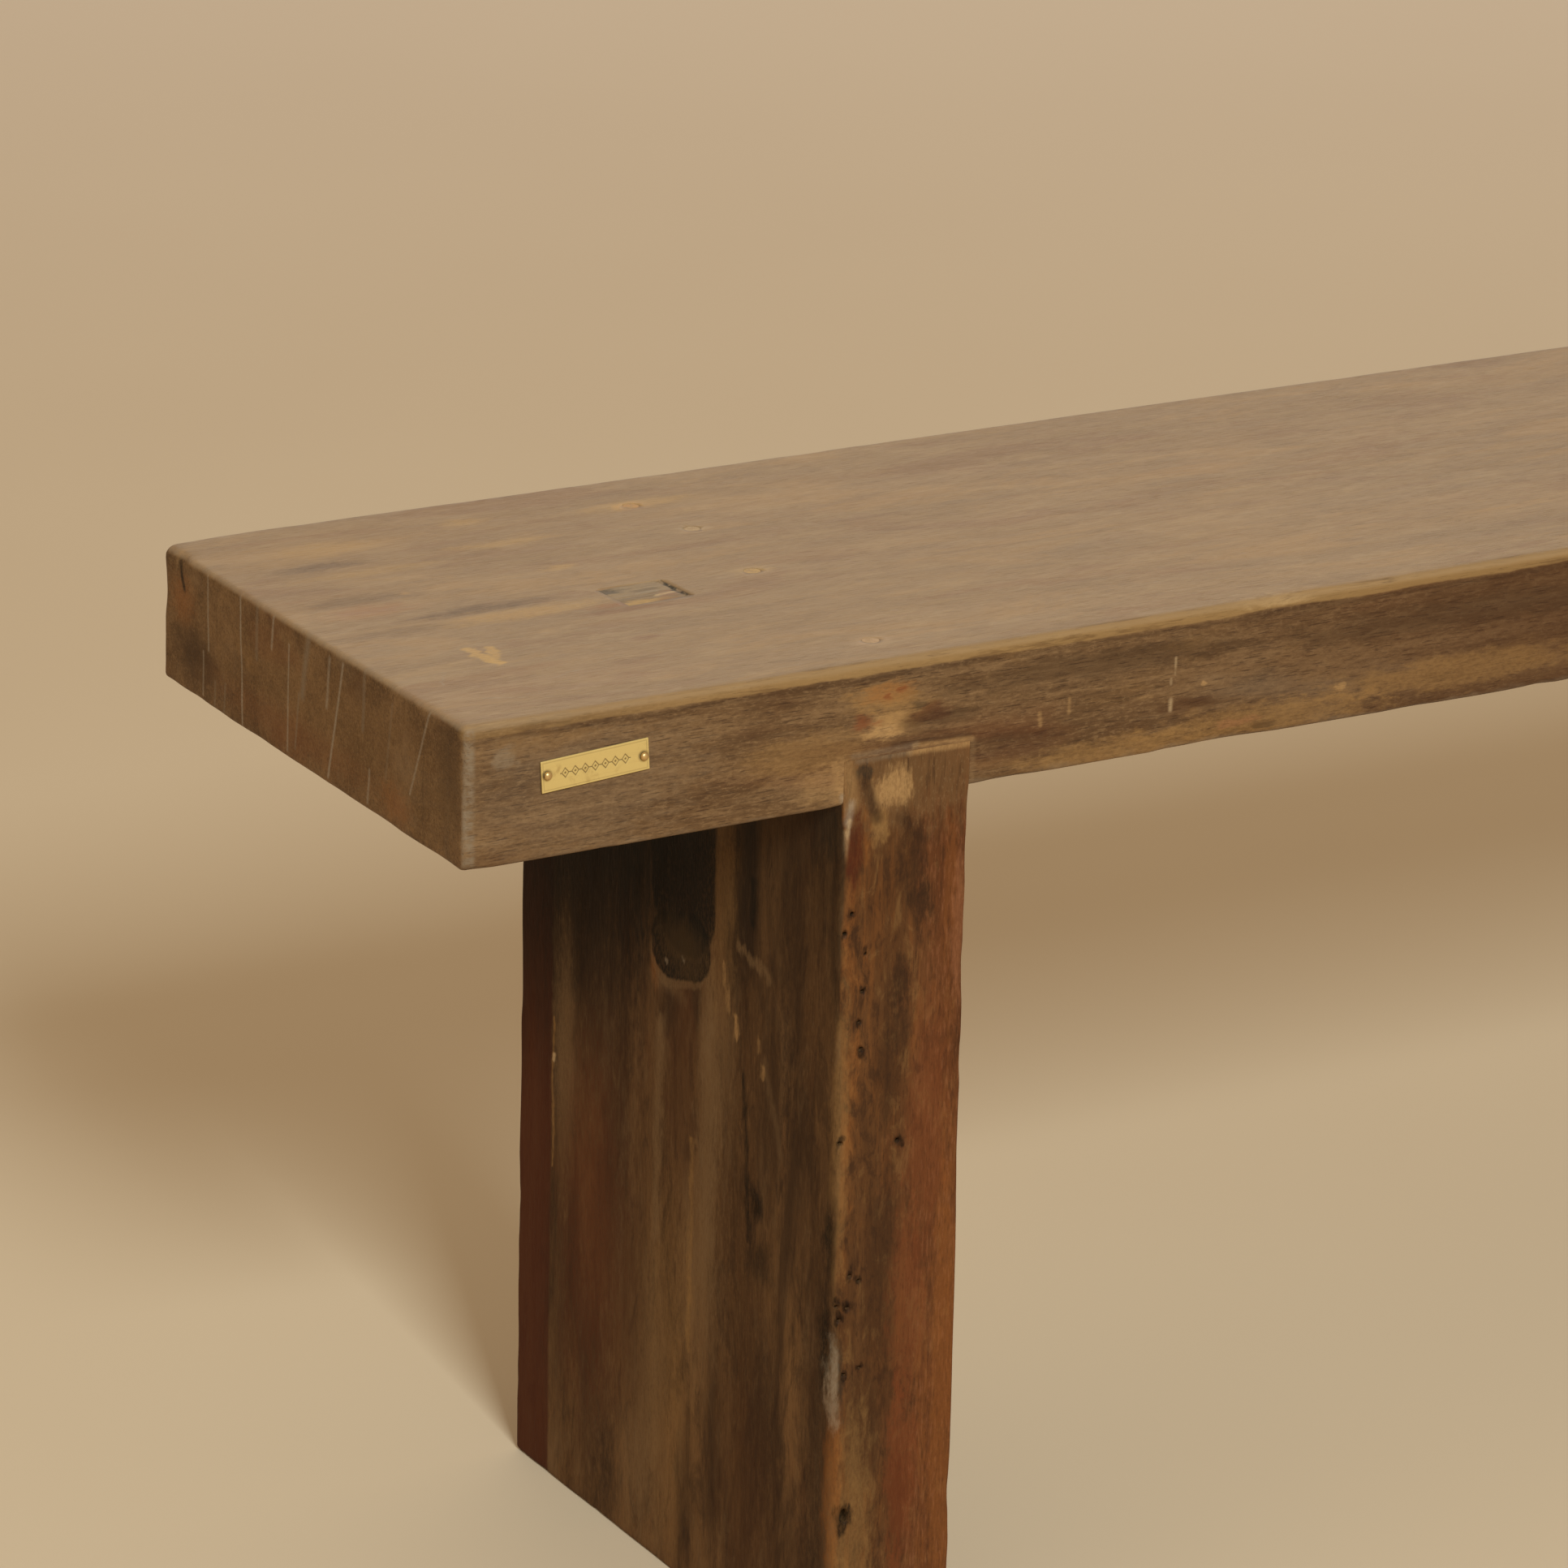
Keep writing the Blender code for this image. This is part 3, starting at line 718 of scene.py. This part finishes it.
def leg_material(side):
    """The legs' darker wood: red-brown and worm-eaten in front, mottled on the sides, with painted shade
    darkening them towards the top and the back under the seat.
    """
    seed = 3 + SIDES.index(side)
    wood = Wood(f"leg_wood_{side}", Z, LEG_TONES, 0.50, seed)
    cloud = wood.noise((45, 26, 7), 5, 0.68, 0.6, (seed, 8, 1))
    wood.flecks(cloud, 0.50, 0.66, "dark", 0.62)
    wood.flecks(cloud, 0.46, 0.32, "fawn", 0.48)
    stain = wood.noise((90, 85, 26), 5, 0.70, 0.8, (seed, 2, 9))
    wood.flecks(stain, 0.52, 0.64, "dark", 0.45)
    wood.flecks(stain, 0.46, 0.34, "fawn", 0.25)
    tint = wood.noise((30, 20, 6), 4, 0.65, 0.5, (seed, 3, 5))
    wood.flecks(tint, 0.54, 0.70, "red", 0.35)
    on_back = wood.near(wood.y, BACK, -31, -28.5)
    wood.paint(on_back, "red", 0.85)
    # Painted shade: black over the top of the leg, most towards the back, where the seat's overhang
    # shades it.
    painted_shade_level = wood.scaled(wood.y, 0.55, wood.z)
    painted_shade_level = wood.scaled(cloud, 120 * MM, painted_shade_level)
    wood.paint(wood.smooth(painted_shade_level, 280 * MM, 420 * MM), "black", 0.76)
    if side == "left":
        wood.add_spots(LEG_SIDE, LEG_SIDE_SPOTS, 0.7)
        wood.add_strokes(LEG_SIDE, KNOT_AND_SHADE_STROKES, 0.06, 0.3)
        wood.add_spots(LEG_SIDE, KNOT_TINT_AND_GLINTS, 0.7)
        wood.add_strokes(LEG_SIDE, LEG_SIDE_STROKES, 0.8)
    paint_leg_front(wood, side)
    return wood.finish(wood.scaled(wood.fibre, 0.25, 0.48), Specular_IOR_Level=0.06)


def paint_leg_front(wood, side):
    """Across the front: orange rot along the left arris, mottled brown, then red towards the right."""
    low, high = LEG_BOXES[side]
    on_front = wood.near(wood.y, FRONT, 2.5, 0.8)
    across = wood.math("SUBTRACT", wood.x, low.x)
    sway = wood.noise((50, 50, 16), 5, 0.68, 0.0, (8, 2, 4))
    swayed = wood.scaled(sway, 44 * MM, across)
    swayed = wood.scaled(wood.tear, 20 * MM, swayed)
    swayed = wood.scaled(wood.z, -0.03, swayed)
    wood.paint(on_front, LEG_FRONT_BROWN, 0.72)
    mottle = wood.noise((120, 120, 55), 5, 0.70, 0.5, (2, 9, 3))
    run = wood.noise((150, 150, 14), 4, 0.66, 0.3, (6, 1, 7))
    wood.flecks(mottle, 0.48, 0.34, "ochre", 0.32, on_front)
    reddish = wood.times(on_front, wood.smooth(swayed, 48 * MM, 76 * MM))
    wood.paint(reddish, "rust", 0.40)
    orange = wood.times(on_front, wood.smooth(swayed, 40 * MM, 27 * MM))
    wood.flecks(mottle, 0.62, 0.40, "orange", 0.45, orange)
    patchy = wood.times(on_front, wood.smooth(swayed, 84 * MM, 60 * MM))
    wood.flecks(mottle, 0.52, 0.64, "dark", 0.62, patchy)
    wood.flecks(run, 0.52, 0.64, "dark", 0.34, on_front)
    wood.flecks(run, 0.48, 0.36, "orange", 0.22, on_front)
    wood.flecks(wood.fibre, 0.53, 0.66, "dark", 0.42, on_front)
    wood.flecks(wood.fibre, 0.48, 0.34, "pink", 0.30, reddish)
    wood.paint(on_front, "umber", 0.20)
    frayed = wood.scaled(wood.tear, 60 * MM, wood.z)
    head = wood.times(on_front, wood.near(frayed, UNDERSIDE, 8, 34))
    wood.paint(head, SEAT_TONES[1], 0.70)
    wood.flecks(wood.streak, 0.52, 0.66, "dark", 0.50, head)
    wood.flecks(wood.speck, 0.46, 0.32, "fawn", 0.50, head)
    if side == "left":
        wood.add_spots(WHOLE_FRONT, LEG_FRONT_SPOTS)
        wood.add_strokes(WHOLE_FRONT, LEG_FRONT_STROKES, 1.0, 1.0)
        # Painted shade: black over each worm hole's bore and a little past its rim.
        for from_left, up, radius in WORM_HOLES:
            radii = mm(radius + 0.2, MARK_DEPTH, radius + 0.7)
            ring = wood.spot(from_corner(from_left, 0, up), radii, 0.5)
            wood.paint(ring, "black", 0.75)


def patch_material():
    wood = Wood("patch_wood_worn", X, PATCH_TONES, 0.8, 7)
    # Paled with the seat top's tone of dust and painted sheen.
    wood.color = wood.blend(0.3, wood.color, DUST_AND_SHEEN)
    wood.add_spots(SEAT_TOP, (
        ("slate", 133, 132, 7, 5, 0.75), ("dark", 148, 127, 8, 2, 0.4), ("gold", 141, 112, 14, 3, 0.7),
        ("rust", 150, 111, 7, 2.5, 0.5), ("pink", 156, 118, 5, 4, 0.5),
    ))
    wood.add_strokes(SEAT_TOP, (
        ("black", 160.5, 134, 160.8, 114, 1.4, 0.9), ("ash", 142, 124, 152, 124, 1, 0.6),
        ("pale", 150, 118, 159, 119, 1.2, 0.7),
    ))
    return wood.finish(0.6, Specular_IOR_Level=0.45)


def filler_material(name, tone):
    """Dried filler: mottled, with crumbs of wood dust, smeared with the seat top's pale tone of dust and
    painted sheen.
    """
    paste = Paint(name, tone)
    mottle = paste.noise((420, 420, 420), 4, 0.65, 0.4)
    crumb = paste.noise((1500, 1500, 1500), 2, 0.5)
    paste.color = paste.blend(paste.smooth(mottle, 0.38, 0.62), tone, DUST_AND_SHEEN)
    paste.paint(paste.smooth(crumb, 0.60, 0.72), "umber", 0.4)
    paste.raise_by(mottle, 0.15 * MM)
    paste.raise_by(crumb, 0.05 * MM)
    return paste.finish(0.7)


def brushed_brass(name, color, tarnish):
    """Rolled brass with fine scratches, darker where it has tarnished."""
    brass = Paint(name, color)
    cloud = brass.noise((130, 130, 130), 4, 0.6, 0.6)
    brushed = brass.noise((60, 900, 1400), 2, 0.5)
    brass.paint(brass.smooth(cloud, 0.52, 0.74), tarnish, 0.45)
    brass.paint(brass.smooth(brushed, 0.55, 0.75), tarnish, 0.12)
    brass.raise_by(brushed, 0.008 * MM)
    brass.raise_by(cloud, 0.03 * MM)
    return brass, cloud


def plate_material():
    tarnish = srgb(150, 112, 58)
    brass, cloud = brushed_brass("plate_brass_worn", srgb(212, 184, 116), tarnish)
    groove = brass.node("Attribute", attribute_name="groove").outputs["Fac"]
    brass.paint(groove, srgb(84, 58, 28), 0.75)
    near_pin = brass.node("Attribute", attribute_name="near_pin").outputs["Fac"]
    brass.paint(near_pin, srgb(104, 74, 40), 0.60)
    return brass.finish(brass.scaled(cloud, 0.2, 0.30), Metallic=0.6)


def pin_material():
    brass, cloud = brushed_brass("pin_brass_worn", srgb(196, 160, 104), srgb(120, 84, 48))
    return brass.finish(brass.scaled(cloud, 0.2, 0.28), Metallic=0.8)


def steel_material():
    """Zinc-plated steel, slightly dulled."""
    steel = Paint("screw_steel_plated", srgb(176, 172, 158))
    cloud = steel.noise((300, 300, 300), 3, 0.6, 0.3)
    steel.paint(steel.smooth(cloud, 0.45, 0.7), srgb(128, 122, 108), 0.6)
    steel.raise_by(cloud, 0.02 * MM)
    return steel.finish(steel.scaled(cloud, 0.2, 0.25), Metallic=1.0)


def floor_material():
    floor = Paint("floor_pale", srgb(206, 182, 150))
    cloud = floor.noise((1.2, 1.2, 1.2), 3, 0.5)
    floor.paint(floor.smooth(cloud, 0.3, 0.7), srgb(211, 188, 156), 0.5)
    # Painted light: the floor grows paler and cooler far away, as if lit by the bright wall behind.
    depth = floor.vector("DOT_PRODUCT", floor.place, (0.5, 0.86, 0.0), output=1)
    floor.paint(floor.smooth(depth, 0.5, 5.0), srgb(237, 223, 209), 0.8)
    return floor.finish(0.9, bump=False)


# ---------------------------------------------------------------- pieces


def place_piece(piece, node):
    """Show the piece in its CAD node's place, on the bench's only body."""
    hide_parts(node)
    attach(piece, "root")


def at(place, shape):
    """A shape, as points and faces, moved to a place."""
    points, faces = shape
    return points + np.array(place), faces


def rolled(angle, axis, shape):
    """A shape turned about an axis through its origin."""
    points, faces = shape
    return points @ np.array(Matrix.Rotation(angle, 3, axis)).T, faces


def seat_bores():
    """Stepped bores: wide for the filler, narrow for the screw below it."""
    for side, number in itertools.product(SIDES, NUMBERS):
        node = f"filler_plug_{side}_{number}"
        low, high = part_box(node)
        middle = middle_of(node)
        wide = (high.x - low.x) / 2 + 0.04 * MM
        rows = [(SCREW_HOLE, LEG_TOP - 3 * MM), (SCREW_HOLE, low.z), (wide, low.z), (wide, TOP + 5 * MM)]
        yield at((middle.x, middle.y, 0), turned(rows, 28))


def leg_bores(side):
    """Blind bores for the screws, down into the leg's end grain."""
    for number in NUMBERS:
        node = f"seat_screw_{side}_{number}"
        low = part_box(node)[0]
        middle = middle_of(node)
        rows = [(SCREW_HOLE, low.z - FIT_GAP), (SCREW_HOLE, LEG_TOP + 5 * MM)]
        yield at((middle.x, middle.y, 0), turned(rows, 20))


def worm_holes():
    """Beetle holes bored a few millimetres into the front of the left leg."""
    for from_left, up, radius in WORM_HOLES:
        rows = [(0.6 * radius * MM, -5 * MM), (0.75 * radius * MM, 4 * MM)]
        bore = rolled(math.pi / 2, "X", turned(rows, 10))
        yield at(settled(from_corner(from_left, 0, up)), bore)
    rows = [mm(0.8, -5), mm(1.9, -2.5), mm(2.6, 4)]
    points, faces = rolled(math.pi / 2, "X", turned(rows, 14))
    yield at(settled(from_corner(*BIG_HOLE)), (points * (1, 1, 1.7), faces))


def towards_front(points):
    """1 beside the front face, fading out 20 to 60 mm behind it."""
    return smoothstep(FRONT + 60 * MM, FRONT + 20 * MM, points[:, Y])


def below_seat(points):
    """1 below the seat, fading out just under its underside."""
    return smoothstep(UNDERSIDE + 1 * MM, UNDERSIDE - 12 * MM, points[:, Z])


def seat_radius(points):
    """The radius of the nearest arris: large and ragged at the front of the top, small elsewhere."""
    to_top = smoothstep(UNDERSIDE + 20 * MM, TOP - 20 * MM, points[:, Z])
    slow = noise(points, (80 * MM, 0.5, 0.5), 21)
    quick = noise(points, mm(12, 12, 12), 22)
    radius = 1.8 + 1.6 * towards_front(points) * to_top + 0.5 * slow + 0.35 * quick
    corner = np.linalg.norm(points[:, :2] - np.array((LEFT_END, BACK)), axis=1)
    radius += 3.0 * smoothstep(40 * MM, 0, corner) * to_top
    return np.clip(radius, 0.8, 5.5) * MM


def seat_dents():
    rng = np.random.default_rng(5)
    corners = [(x, y, z) for x in (LEFT_END, RIGHT_END) for y in (FRONT, BACK) for z in (UNDERSIDE, TOP)]
    for start, end in itertools.combinations(corners, 2):
        if sum(a != b for a, b in zip(start, end)) == 1:
            span = (Vector(end) - Vector(start)).length
            count = max(3, round(span / (45 * MM)))
            low_front = start[1] == end[1] == FRONT and start[2] == end[2] == UNDERSIDE
            yield from edge_chips(rng, start, end, count, 8 * MM, (0.8 if low_front else 0.35) * MM)
    for _ in range(70):
        place = (rng.uniform(LEFT_END, RIGHT_END), rng.uniform(FRONT, BACK), TOP)
        radii = (rng.uniform(6, 24) * MM, rng.uniform(3, 6) * MM, 6 * MM)
        yield place, radii, rng.uniform(0.05, 0.22) * MM
    for _ in range(40):
        side = rng.choice((FRONT, BACK))
        place = (rng.uniform(LEFT_END, RIGHT_END), side, rng.uniform(UNDERSIDE, TOP))
        radii = (rng.uniform(5, 16) * MM, 6 * MM, rng.uniform(2.5, 5) * MM)
        yield place, radii, rng.uniform(0.05, 0.35) * MM
    yield from_corner(373, 0, 449), mm(14, 4, 3), 1.1 * MM
    yield from_corner(350, 0, 393), mm(22, 4, 3), 1.0 * MM
    yield from_corner(0, 253, 449), mm(4, 5, 5), 1.2 * MM


def make_seat():
    """The plank: housings for the legs, eased arrises, then bores for the screws, patch and pins."""
    walls = [(low.x - FIT_GAP, high.x + FIT_GAP) for low, high in LEG_BOXES.values()]
    stations = (LEFT_END, *walls[0], *walls[1], RIGHT_END)
    axes = (
        grid_lines(stations, mm(4, 4, 9, 4, 5)),
        grid_lines((FRONT, BACK), mm(3.2)),
        grid_lines((UNDERSIDE, LEG_TOP + FIT_GAP, TOP), mm(2.5, 2.5)),
    )
    middles = [(lines[:-1] + lines[1:]) / 2 for lines in axes]
    filled = np.ones([len(values) for values in middles], bool)
    under = middles[Z] < LEG_TOP + FIT_GAP
    for low, high in walls:
        over_leg = (middles[X] > low) & (middles[X] < high)
        filled &= ~(over_leg[:, None, None] & under[None, None, :])
    sharp, faces = cell_surface(axes, filled)
    arris = arris_distance(sharp, seat_low, seat_high)
    points = ease(sharp, seat_low, seat_high, seat_radius(sharp))
    direction = outward(sharp, seat_low, seat_high)
    points = press(points, direction, seat_dents())
    relief = noise(sharp, mm(60, 7, 5), 31) * 0.10
    relief += noise(sharp, mm(150, 22, 16), 32) * 0.22
    points = settle(points + direction * relief[:, None] * MM)
    seat = make_object("seat_board", points, faces, seat_material(), {"arris": arris})
    drill(seat, [patch_recess(), *pin_holes(), *seat_bores()])
    place_piece(seat, "seat_plank")


def patch_recess():
    """The pocket for the patch, a hair wider than the patch all round."""
    half = np.array((PATCH_LENGTH / 2 + 0.1 * MM, PATCH_WIDTH / 2 + 0.1 * MM, 0))
    block = block_surface(-half - (0, 0, PATCH_DEPTH / 2), half + (0, 0, PATCH_DEPTH), (1, 1, 1))
    return at(middle_of("repair_patch"), rolled(PATCH_TURN, "Z", block))


def pin_holes():
    """Bores for the pins, through the plate and into the seat's front."""
    for side in SIDES:
        middle = middle_of(f"plate_pin_{side}")
        bore = rolled(math.pi / 2, "X", turned([(PIN_HOLE, -13 * MM), (PIN_HOLE, 4 * MM)], 16))
        yield at((middle.x, FRONT, middle.z), bore)


def leg_radius(points, low, high, side):
    """The arris radius: tight in the housing, with a ragged wane down the front-left arris."""
    to_left = smoothstep(low.x + 35 * MM, low.x + 15 * MM, points[:, X])
    seed = 41 + SIDES.index(side)
    slow = noise(points, 45 * MM, seed)
    quick = noise(points, 12 * MM, seed + 10)
    wane = towards_front(points) * to_left * (2.6 + 1.8 * slow + 1.0 * quick)
    radius = 1.8 + 0.6 * slow + 0.4 * quick + wane
    radius -= 0.8 * (1 - to_left)
    return np.clip(0.03 + below_seat(points) * (radius - 0.03), 0.03, 5.5) * MM


def leg_dents(low, high, side):
    rng = np.random.default_rng(8 + SIDES.index(side))
    for x, y in itertools.product((low.x, high.x), (low.y, high.y)):
        yield from edge_chips(rng, (x, y, 0.01), (x, y, UNDERSIDE - 0.01), 14, 9 * MM, 0.6 * MM)
    for _ in range(60):
        face = rng.choice((low.x, high.x))
        place = (face, rng.uniform(low.y, high.y), rng.uniform(0, UNDERSIDE))
        radii = (5 * MM, rng.uniform(3, 7) * MM, rng.uniform(8, 30) * MM)
        yield place, radii, rng.uniform(0.1, 0.5) * MM
    if side == "left":
        yield from_corner(170, 64.7, 196), mm(5, 4, 6), 1.2 * MM
        yield from_corner(170, 128, 312), mm(5, 24, 36), 0.8 * MM
        yield from_corner(170, 0, 142), mm(5, 5, 24), 1.6 * MM


def fill_housing(points, sharp, low, high):
    """Swell the leg's head until it's tight in its housing."""
    swell = 0.9 * FIT_GAP * smoothstep(UNDERSIDE - 2 * MM, UNDERSIDE, points[:, Z])
    points[:, X] += swell * (np.isclose(sharp[:, X], high.x) * 1.0 - np.isclose(sharp[:, X], low.x))
    points[:, Z] += swell * np.isclose(sharp[:, Z], high.z)
    return points


def twist(points, side):
    """Turn the leg slightly towards its foot: in towards the other leg in front, out at the back."""
    down = 1 - np.clip(points[:, Z] / UNDERSIDE, 0, 1)
    forward = (BACK - points[:, Y]) / (BACK - FRONT)
    inward = 1 if side == "left" else -1
    points[:, X] += inward * down * (3.6 * forward - 1.0) * MM
    return points


def make_leg(side):
    low, high = LEG_BOXES[side]
    sharp, faces = block_surface(low, high, mm(1.6, 3.0, 2.4))
    points = ease(sharp, low, high, leg_radius(sharp, low, high, side))
    direction = outward(sharp, low, high)
    points = press(points, direction, leg_dents(low, high, side))
    seed = 51 + SIDES.index(side)
    relief = noise(sharp, mm(7, 7, 70), seed) * 0.18
    relief += noise(sharp, mm(26, 26, 180), seed + 10) * 0.15
    relief *= below_seat(sharp) * smoothstep(0, 8 * MM, sharp[:, Z])
    points += direction * relief[:, None] * MM
    points = twist(settle(fill_housing(points, sharp, low, high)), side)
    leg = make_object(f"leg_board_{side}", points, faces, leg_material(side))
    drill(leg, [*leg_bores(side), *(worm_holes() if side == "left" else ())])
    place_piece(leg, f"leg_{side}")


def make_patch(material):
    half = np.array((PATCH_LENGTH, PATCH_WIDTH, PATCH_DEPTH)) / 2
    sharp, faces = block_surface(-half, half, mm(0.5, 0.5, 1))
    points = ease(sharp, -half, half, 0.35 * MM)
    on_top = smoothstep(half[2] - 1 * MM, half[2], sharp[:, Z])
    relief = noise(sharp, mm(12, 1.6, 5), 61) * 0.22 + noise(sharp, 6 * MM, 62) * 0.15
    crack = np.exp(-((sharp[:, X] - half[0] + 1.6 * MM) / (0.6 * MM)) ** 2)
    points[:, Z] += on_top * ((relief - 0.8 * crack) * MM - PATCH_SUNK)
    points, faces = at(middle_of("repair_patch"), rolled(PATCH_TURN, "Z", (points, faces)))
    patch = make_object("patch_inlay", points, faces, material)
    place_piece(patch, "repair_patch")


def make_plug(side, number, material):
    """Filler pressed into the bore, sunk a little and rough on top."""
    node = f"filler_plug_{side}_{number}"
    low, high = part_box(node)
    radius = (high.x - low.x) / 2
    depth = (high.z - low.z) / 2
    rows = [(radius, -depth), (radius, depth - 0.5 * MM)]
    rows += [(radius * share, depth) for share in (0.97, 0.85, 0.7, 0.5, 0.3, 0.1)]
    points, faces = turned(rows, 28)
    on_top = points[:, Z] > depth - 0.1 * MM
    dish = 0.10 + 0.08 * noise(points, 2.2 * MM, 70 + number + 10 * SIDES.index(side))
    points[on_top, Z] -= dish[on_top] * MM
    plug = make_object(f"filler_{side}_{number}", points + np.array(middle_of(node)), faces, material)
    place_piece(plug, node)


def screw_rows(length, segments):
    """Rows of a trim-head screw from its point up, over the head and down into its square socket."""
    angles = np.arange(segments) * 2 * math.pi / segments
    pitch, root, crest, head = 2.6 * MM, 1.6 * MM, 2.5 * MM, 3.5 * MM
    thread_top = -length * 0.36
    rows = []
    for height in np.arange(-length + 0.5 * MM, thread_top, pitch / 6):
        phase = (height / pitch - angles / (2 * math.pi)) % 1
        blade = np.clip(1 - np.abs(phase - 0.5) / 0.2, 0, 1)
        taper = min(1.0, (height + length) / (9 * MM))
        fade = min(1.0, (thread_top - height) / (3 * MM))
        rows.append(((root + (crest - root) * blade * fade) * taper, height))
    rows += [(1.85 * MM, thread_top), mm(1.85, -4.0), (head, -2.0 * MM), (head, -0.2 * MM)]
    rows += [(head - 0.2 * MM, 0.0)]
    socket = 1.3 * MM / np.maximum(np.abs(np.cos(angles)), np.abs(np.sin(angles)))
    rows += [(socket, 0.0), (socket, -2.0 * MM)]
    return rows


def make_screw(side, number, material):
    node = f"seat_screw_{side}_{number}"
    low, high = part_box(node)
    middle = middle_of(node)
    points, faces = turned(screw_rows(high.z - low.z, 16), 16)
    place = np.array((middle.x, middle.y, high.z))
    screw = make_object(f"screw_{side}_{number}", points + place, faces, material)
    place_piece(screw, node)


def line_mask(distance, width):
    """1 on a line of the given width, 0 away from it."""
    return smoothstep(width * 1.5, width * 0.5, np.abs(distance))


def plate_groove(along, up):
    """Engraving on the plate: a faint border, and a chain of lozenges joined by bars."""
    half_length, half_height = PLATE_LENGTH / 2, PLATE_HEIGHT / 2
    to_edge = np.minimum(half_length - np.abs(along), half_height - np.abs(up))
    border = 0.35 * line_mask(to_edge - 0.9 * MM, 0.15 * MM)
    pitch = 4.4 * MM
    inside = np.abs(along) < 3.5 * pitch
    beside = np.abs((along + pitch / 2) % pitch - pitch / 2)
    lozenge = line_mask(beside / 0.8 + np.abs(up) - 1.9 * MM, 0.30 * MM)
    bar = line_mask(up, 0.22 * MM) * (beside > 1.6 * MM)
    dot = smoothstep(0.6 * MM, 0.3 * MM, np.hypot(beside, up))
    return np.clip(border + (lozenge + bar + dot) * inside, 0, 1)


def make_plate(material):
    """The brass plate: engraved, a little dished, its edges eased."""
    half = np.array((PLATE_LENGTH, PLATE_THICKNESS, PLATE_HEIGHT)) / 2
    counts = (236, 4, 66)
    axes = [np.linspace(-half[axis], half[axis], counts[axis]) for axis in range(3)]
    sharp, faces = cell_surface(axes, np.ones([count - 1 for count in counts], bool))
    points = ease(sharp, -half, half, 0.22 * MM)
    in_front = sharp[:, Y] < -half[1] * 0.9
    groove = plate_groove(sharp[:, X], sharp[:, Z]) * in_front
    points[:, Y] += groove * 0.14 * MM
    points[:, Y] += 0.05 * MM * noise(sharp, 9 * MM, 81)
    points, faces = at(middle_of("name_plate"), rolled(-PLATE_TILT, "Y", (points, faces)))
    pins = [middle_of(f"plate_pin_{side}") for side in SIDES]
    away = np.min([np.hypot(points[:, X] - pin.x, points[:, Z] - pin.z) for pin in pins], axis=0)
    marks = {"groove": groove, "near_pin": smoothstep(2.9 * MM, 1.7 * MM, away)}
    plate = make_object("plate_engraved", points, faces, material, marks)
    drill(plate, list(pin_holes()))
    place_piece(plate, "name_plate")


def make_pin(side, material):
    """A round-headed pin with a slightly hammered dome."""
    node = f"plate_pin_{side}"
    low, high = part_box(node)
    middle = middle_of(node)
    head, dome = (high.x - low.x) / 2, 1.1 * MM
    length = high.y - low.y - dome
    rows = [(0.05 * MM, -length), (0.6 * MM, -length + 1.6 * MM), (0.6 * MM, 0.0), (head, 0.0)]
    for angle in np.linspace(0.12, 1.0, 9)[:-1] * math.pi / 2:
        rows.append((head * math.cos(angle), dome * math.sin(angle)))
    rows.append((0.04 * head, dome))
    points, faces = turned(rows, 32)
    hammered = points[:, Z] > 0.2 * MM
    points[hammered] *= 1 + 0.03 * noise(points[hammered], 1.0 * MM, 91 + SIDES.index(side))[:, None]
    points, faces = at((middle.x, low.y + dome, middle.z), rolled(math.pi / 2, "X", (points, faces)))
    pin = make_object(f"pin_{side}", points, faces, material)
    place_piece(pin, node)


# ---------------------------------------------------------------- stage


def make_floor():
    """A slab far wider than the picture, so that no horizon shows."""
    points, faces = block_surface((-30, -30, -0.1), (30, 30, 0), (5, 5, 0.1))
    floor = make_object("floor", points, faces, floor_material())
    floor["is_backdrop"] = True


def add_lamp(name, place, aim, width, height, energy, color):
    """A soft rectangular light that lights the bench but isn't seen itself."""
    light = bpy.data.lights.new(name, "AREA")
    light.shape = "RECTANGLE"
    light.size = width
    light.size_y = height
    light.energy = energy
    light.color = color
    lamp = bpy.data.objects.new(name, light)
    lamp.location = place
    lamp.rotation_euler = (Vector(aim) - Vector(place)).to_track_quat("-Z", "Y").to_euler()
    lamp.visible_camera = False
    bpy.context.scene.collection.objects.link(lamp)


def make_lights():
    """A cool window in front and to the left, a bright wall far behind, and a warm room."""
    world = bpy.data.worlds.new("studio")
    world.use_nodes = True
    background = world.node_tree.nodes["Background"]
    background.inputs["Color"].default_value = (1.0, 0.82, 0.59, 1.0)
    background.inputs["Strength"].default_value = 0.50
    bpy.context.scene.world = world
    add_lamp(
        "window", (-1.56, -4.03, 2.99), (-0.35, 0.0, 0.3),
        width=1.1, height=1.0, energy=245, color=(0.80, 0.93, 1.0),
    )
    add_lamp(
        "wall", (4.3, 7.3, 2.9), (0.0, 0.0, 0.4),
        width=8.0, height=4.6, energy=115, color=(1.0, 0.96, 0.86),
    )


def make_camera():
    lens = bpy.data.cameras.new("camera")
    lens.lens = CAMERA_LENS
    lens.sensor_width = CAMERA_SENSOR
    lens.clip_end = 100
    camera = bpy.data.objects.new("camera", lens)
    turn = Matrix.Rotation(-CAMERA_TURN, 3, "Z")
    pitch = Matrix.Rotation(math.pi / 2 - CAMERA_PITCH, 3, "X")
    roll = Matrix.Rotation(CAMERA_ROLL, 3, "Z")
    camera.matrix_world = Matrix.Translation(CAMERA_PLACE) @ (turn @ pitch @ roll).to_4x4()
    bpy.context.scene.collection.objects.link(camera)
    bpy.context.scene.camera = camera


def main():
    bpy.context.scene.view_settings.view_transform = "Standard"
    make_camera()
    make_lights()
    make_floor()
    make_seat()
    make_patch(patch_material())
    make_plate(plate_material())
    steel = steel_material()
    pins = pin_material()
    fillers = [filler_material(f"filler_{number}", tone) for number, tone in zip(NUMBERS, PLUG_TONES)]
    for side in SIDES:
        make_leg(side)
        make_pin(side, pins)
        for number, filler in zip(NUMBERS, fillers):
            make_plug(side, number, filler)
            make_screw(side, number, steel)


main()
[[list(corner) for corner in box] for box in (cad_bounds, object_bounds())]
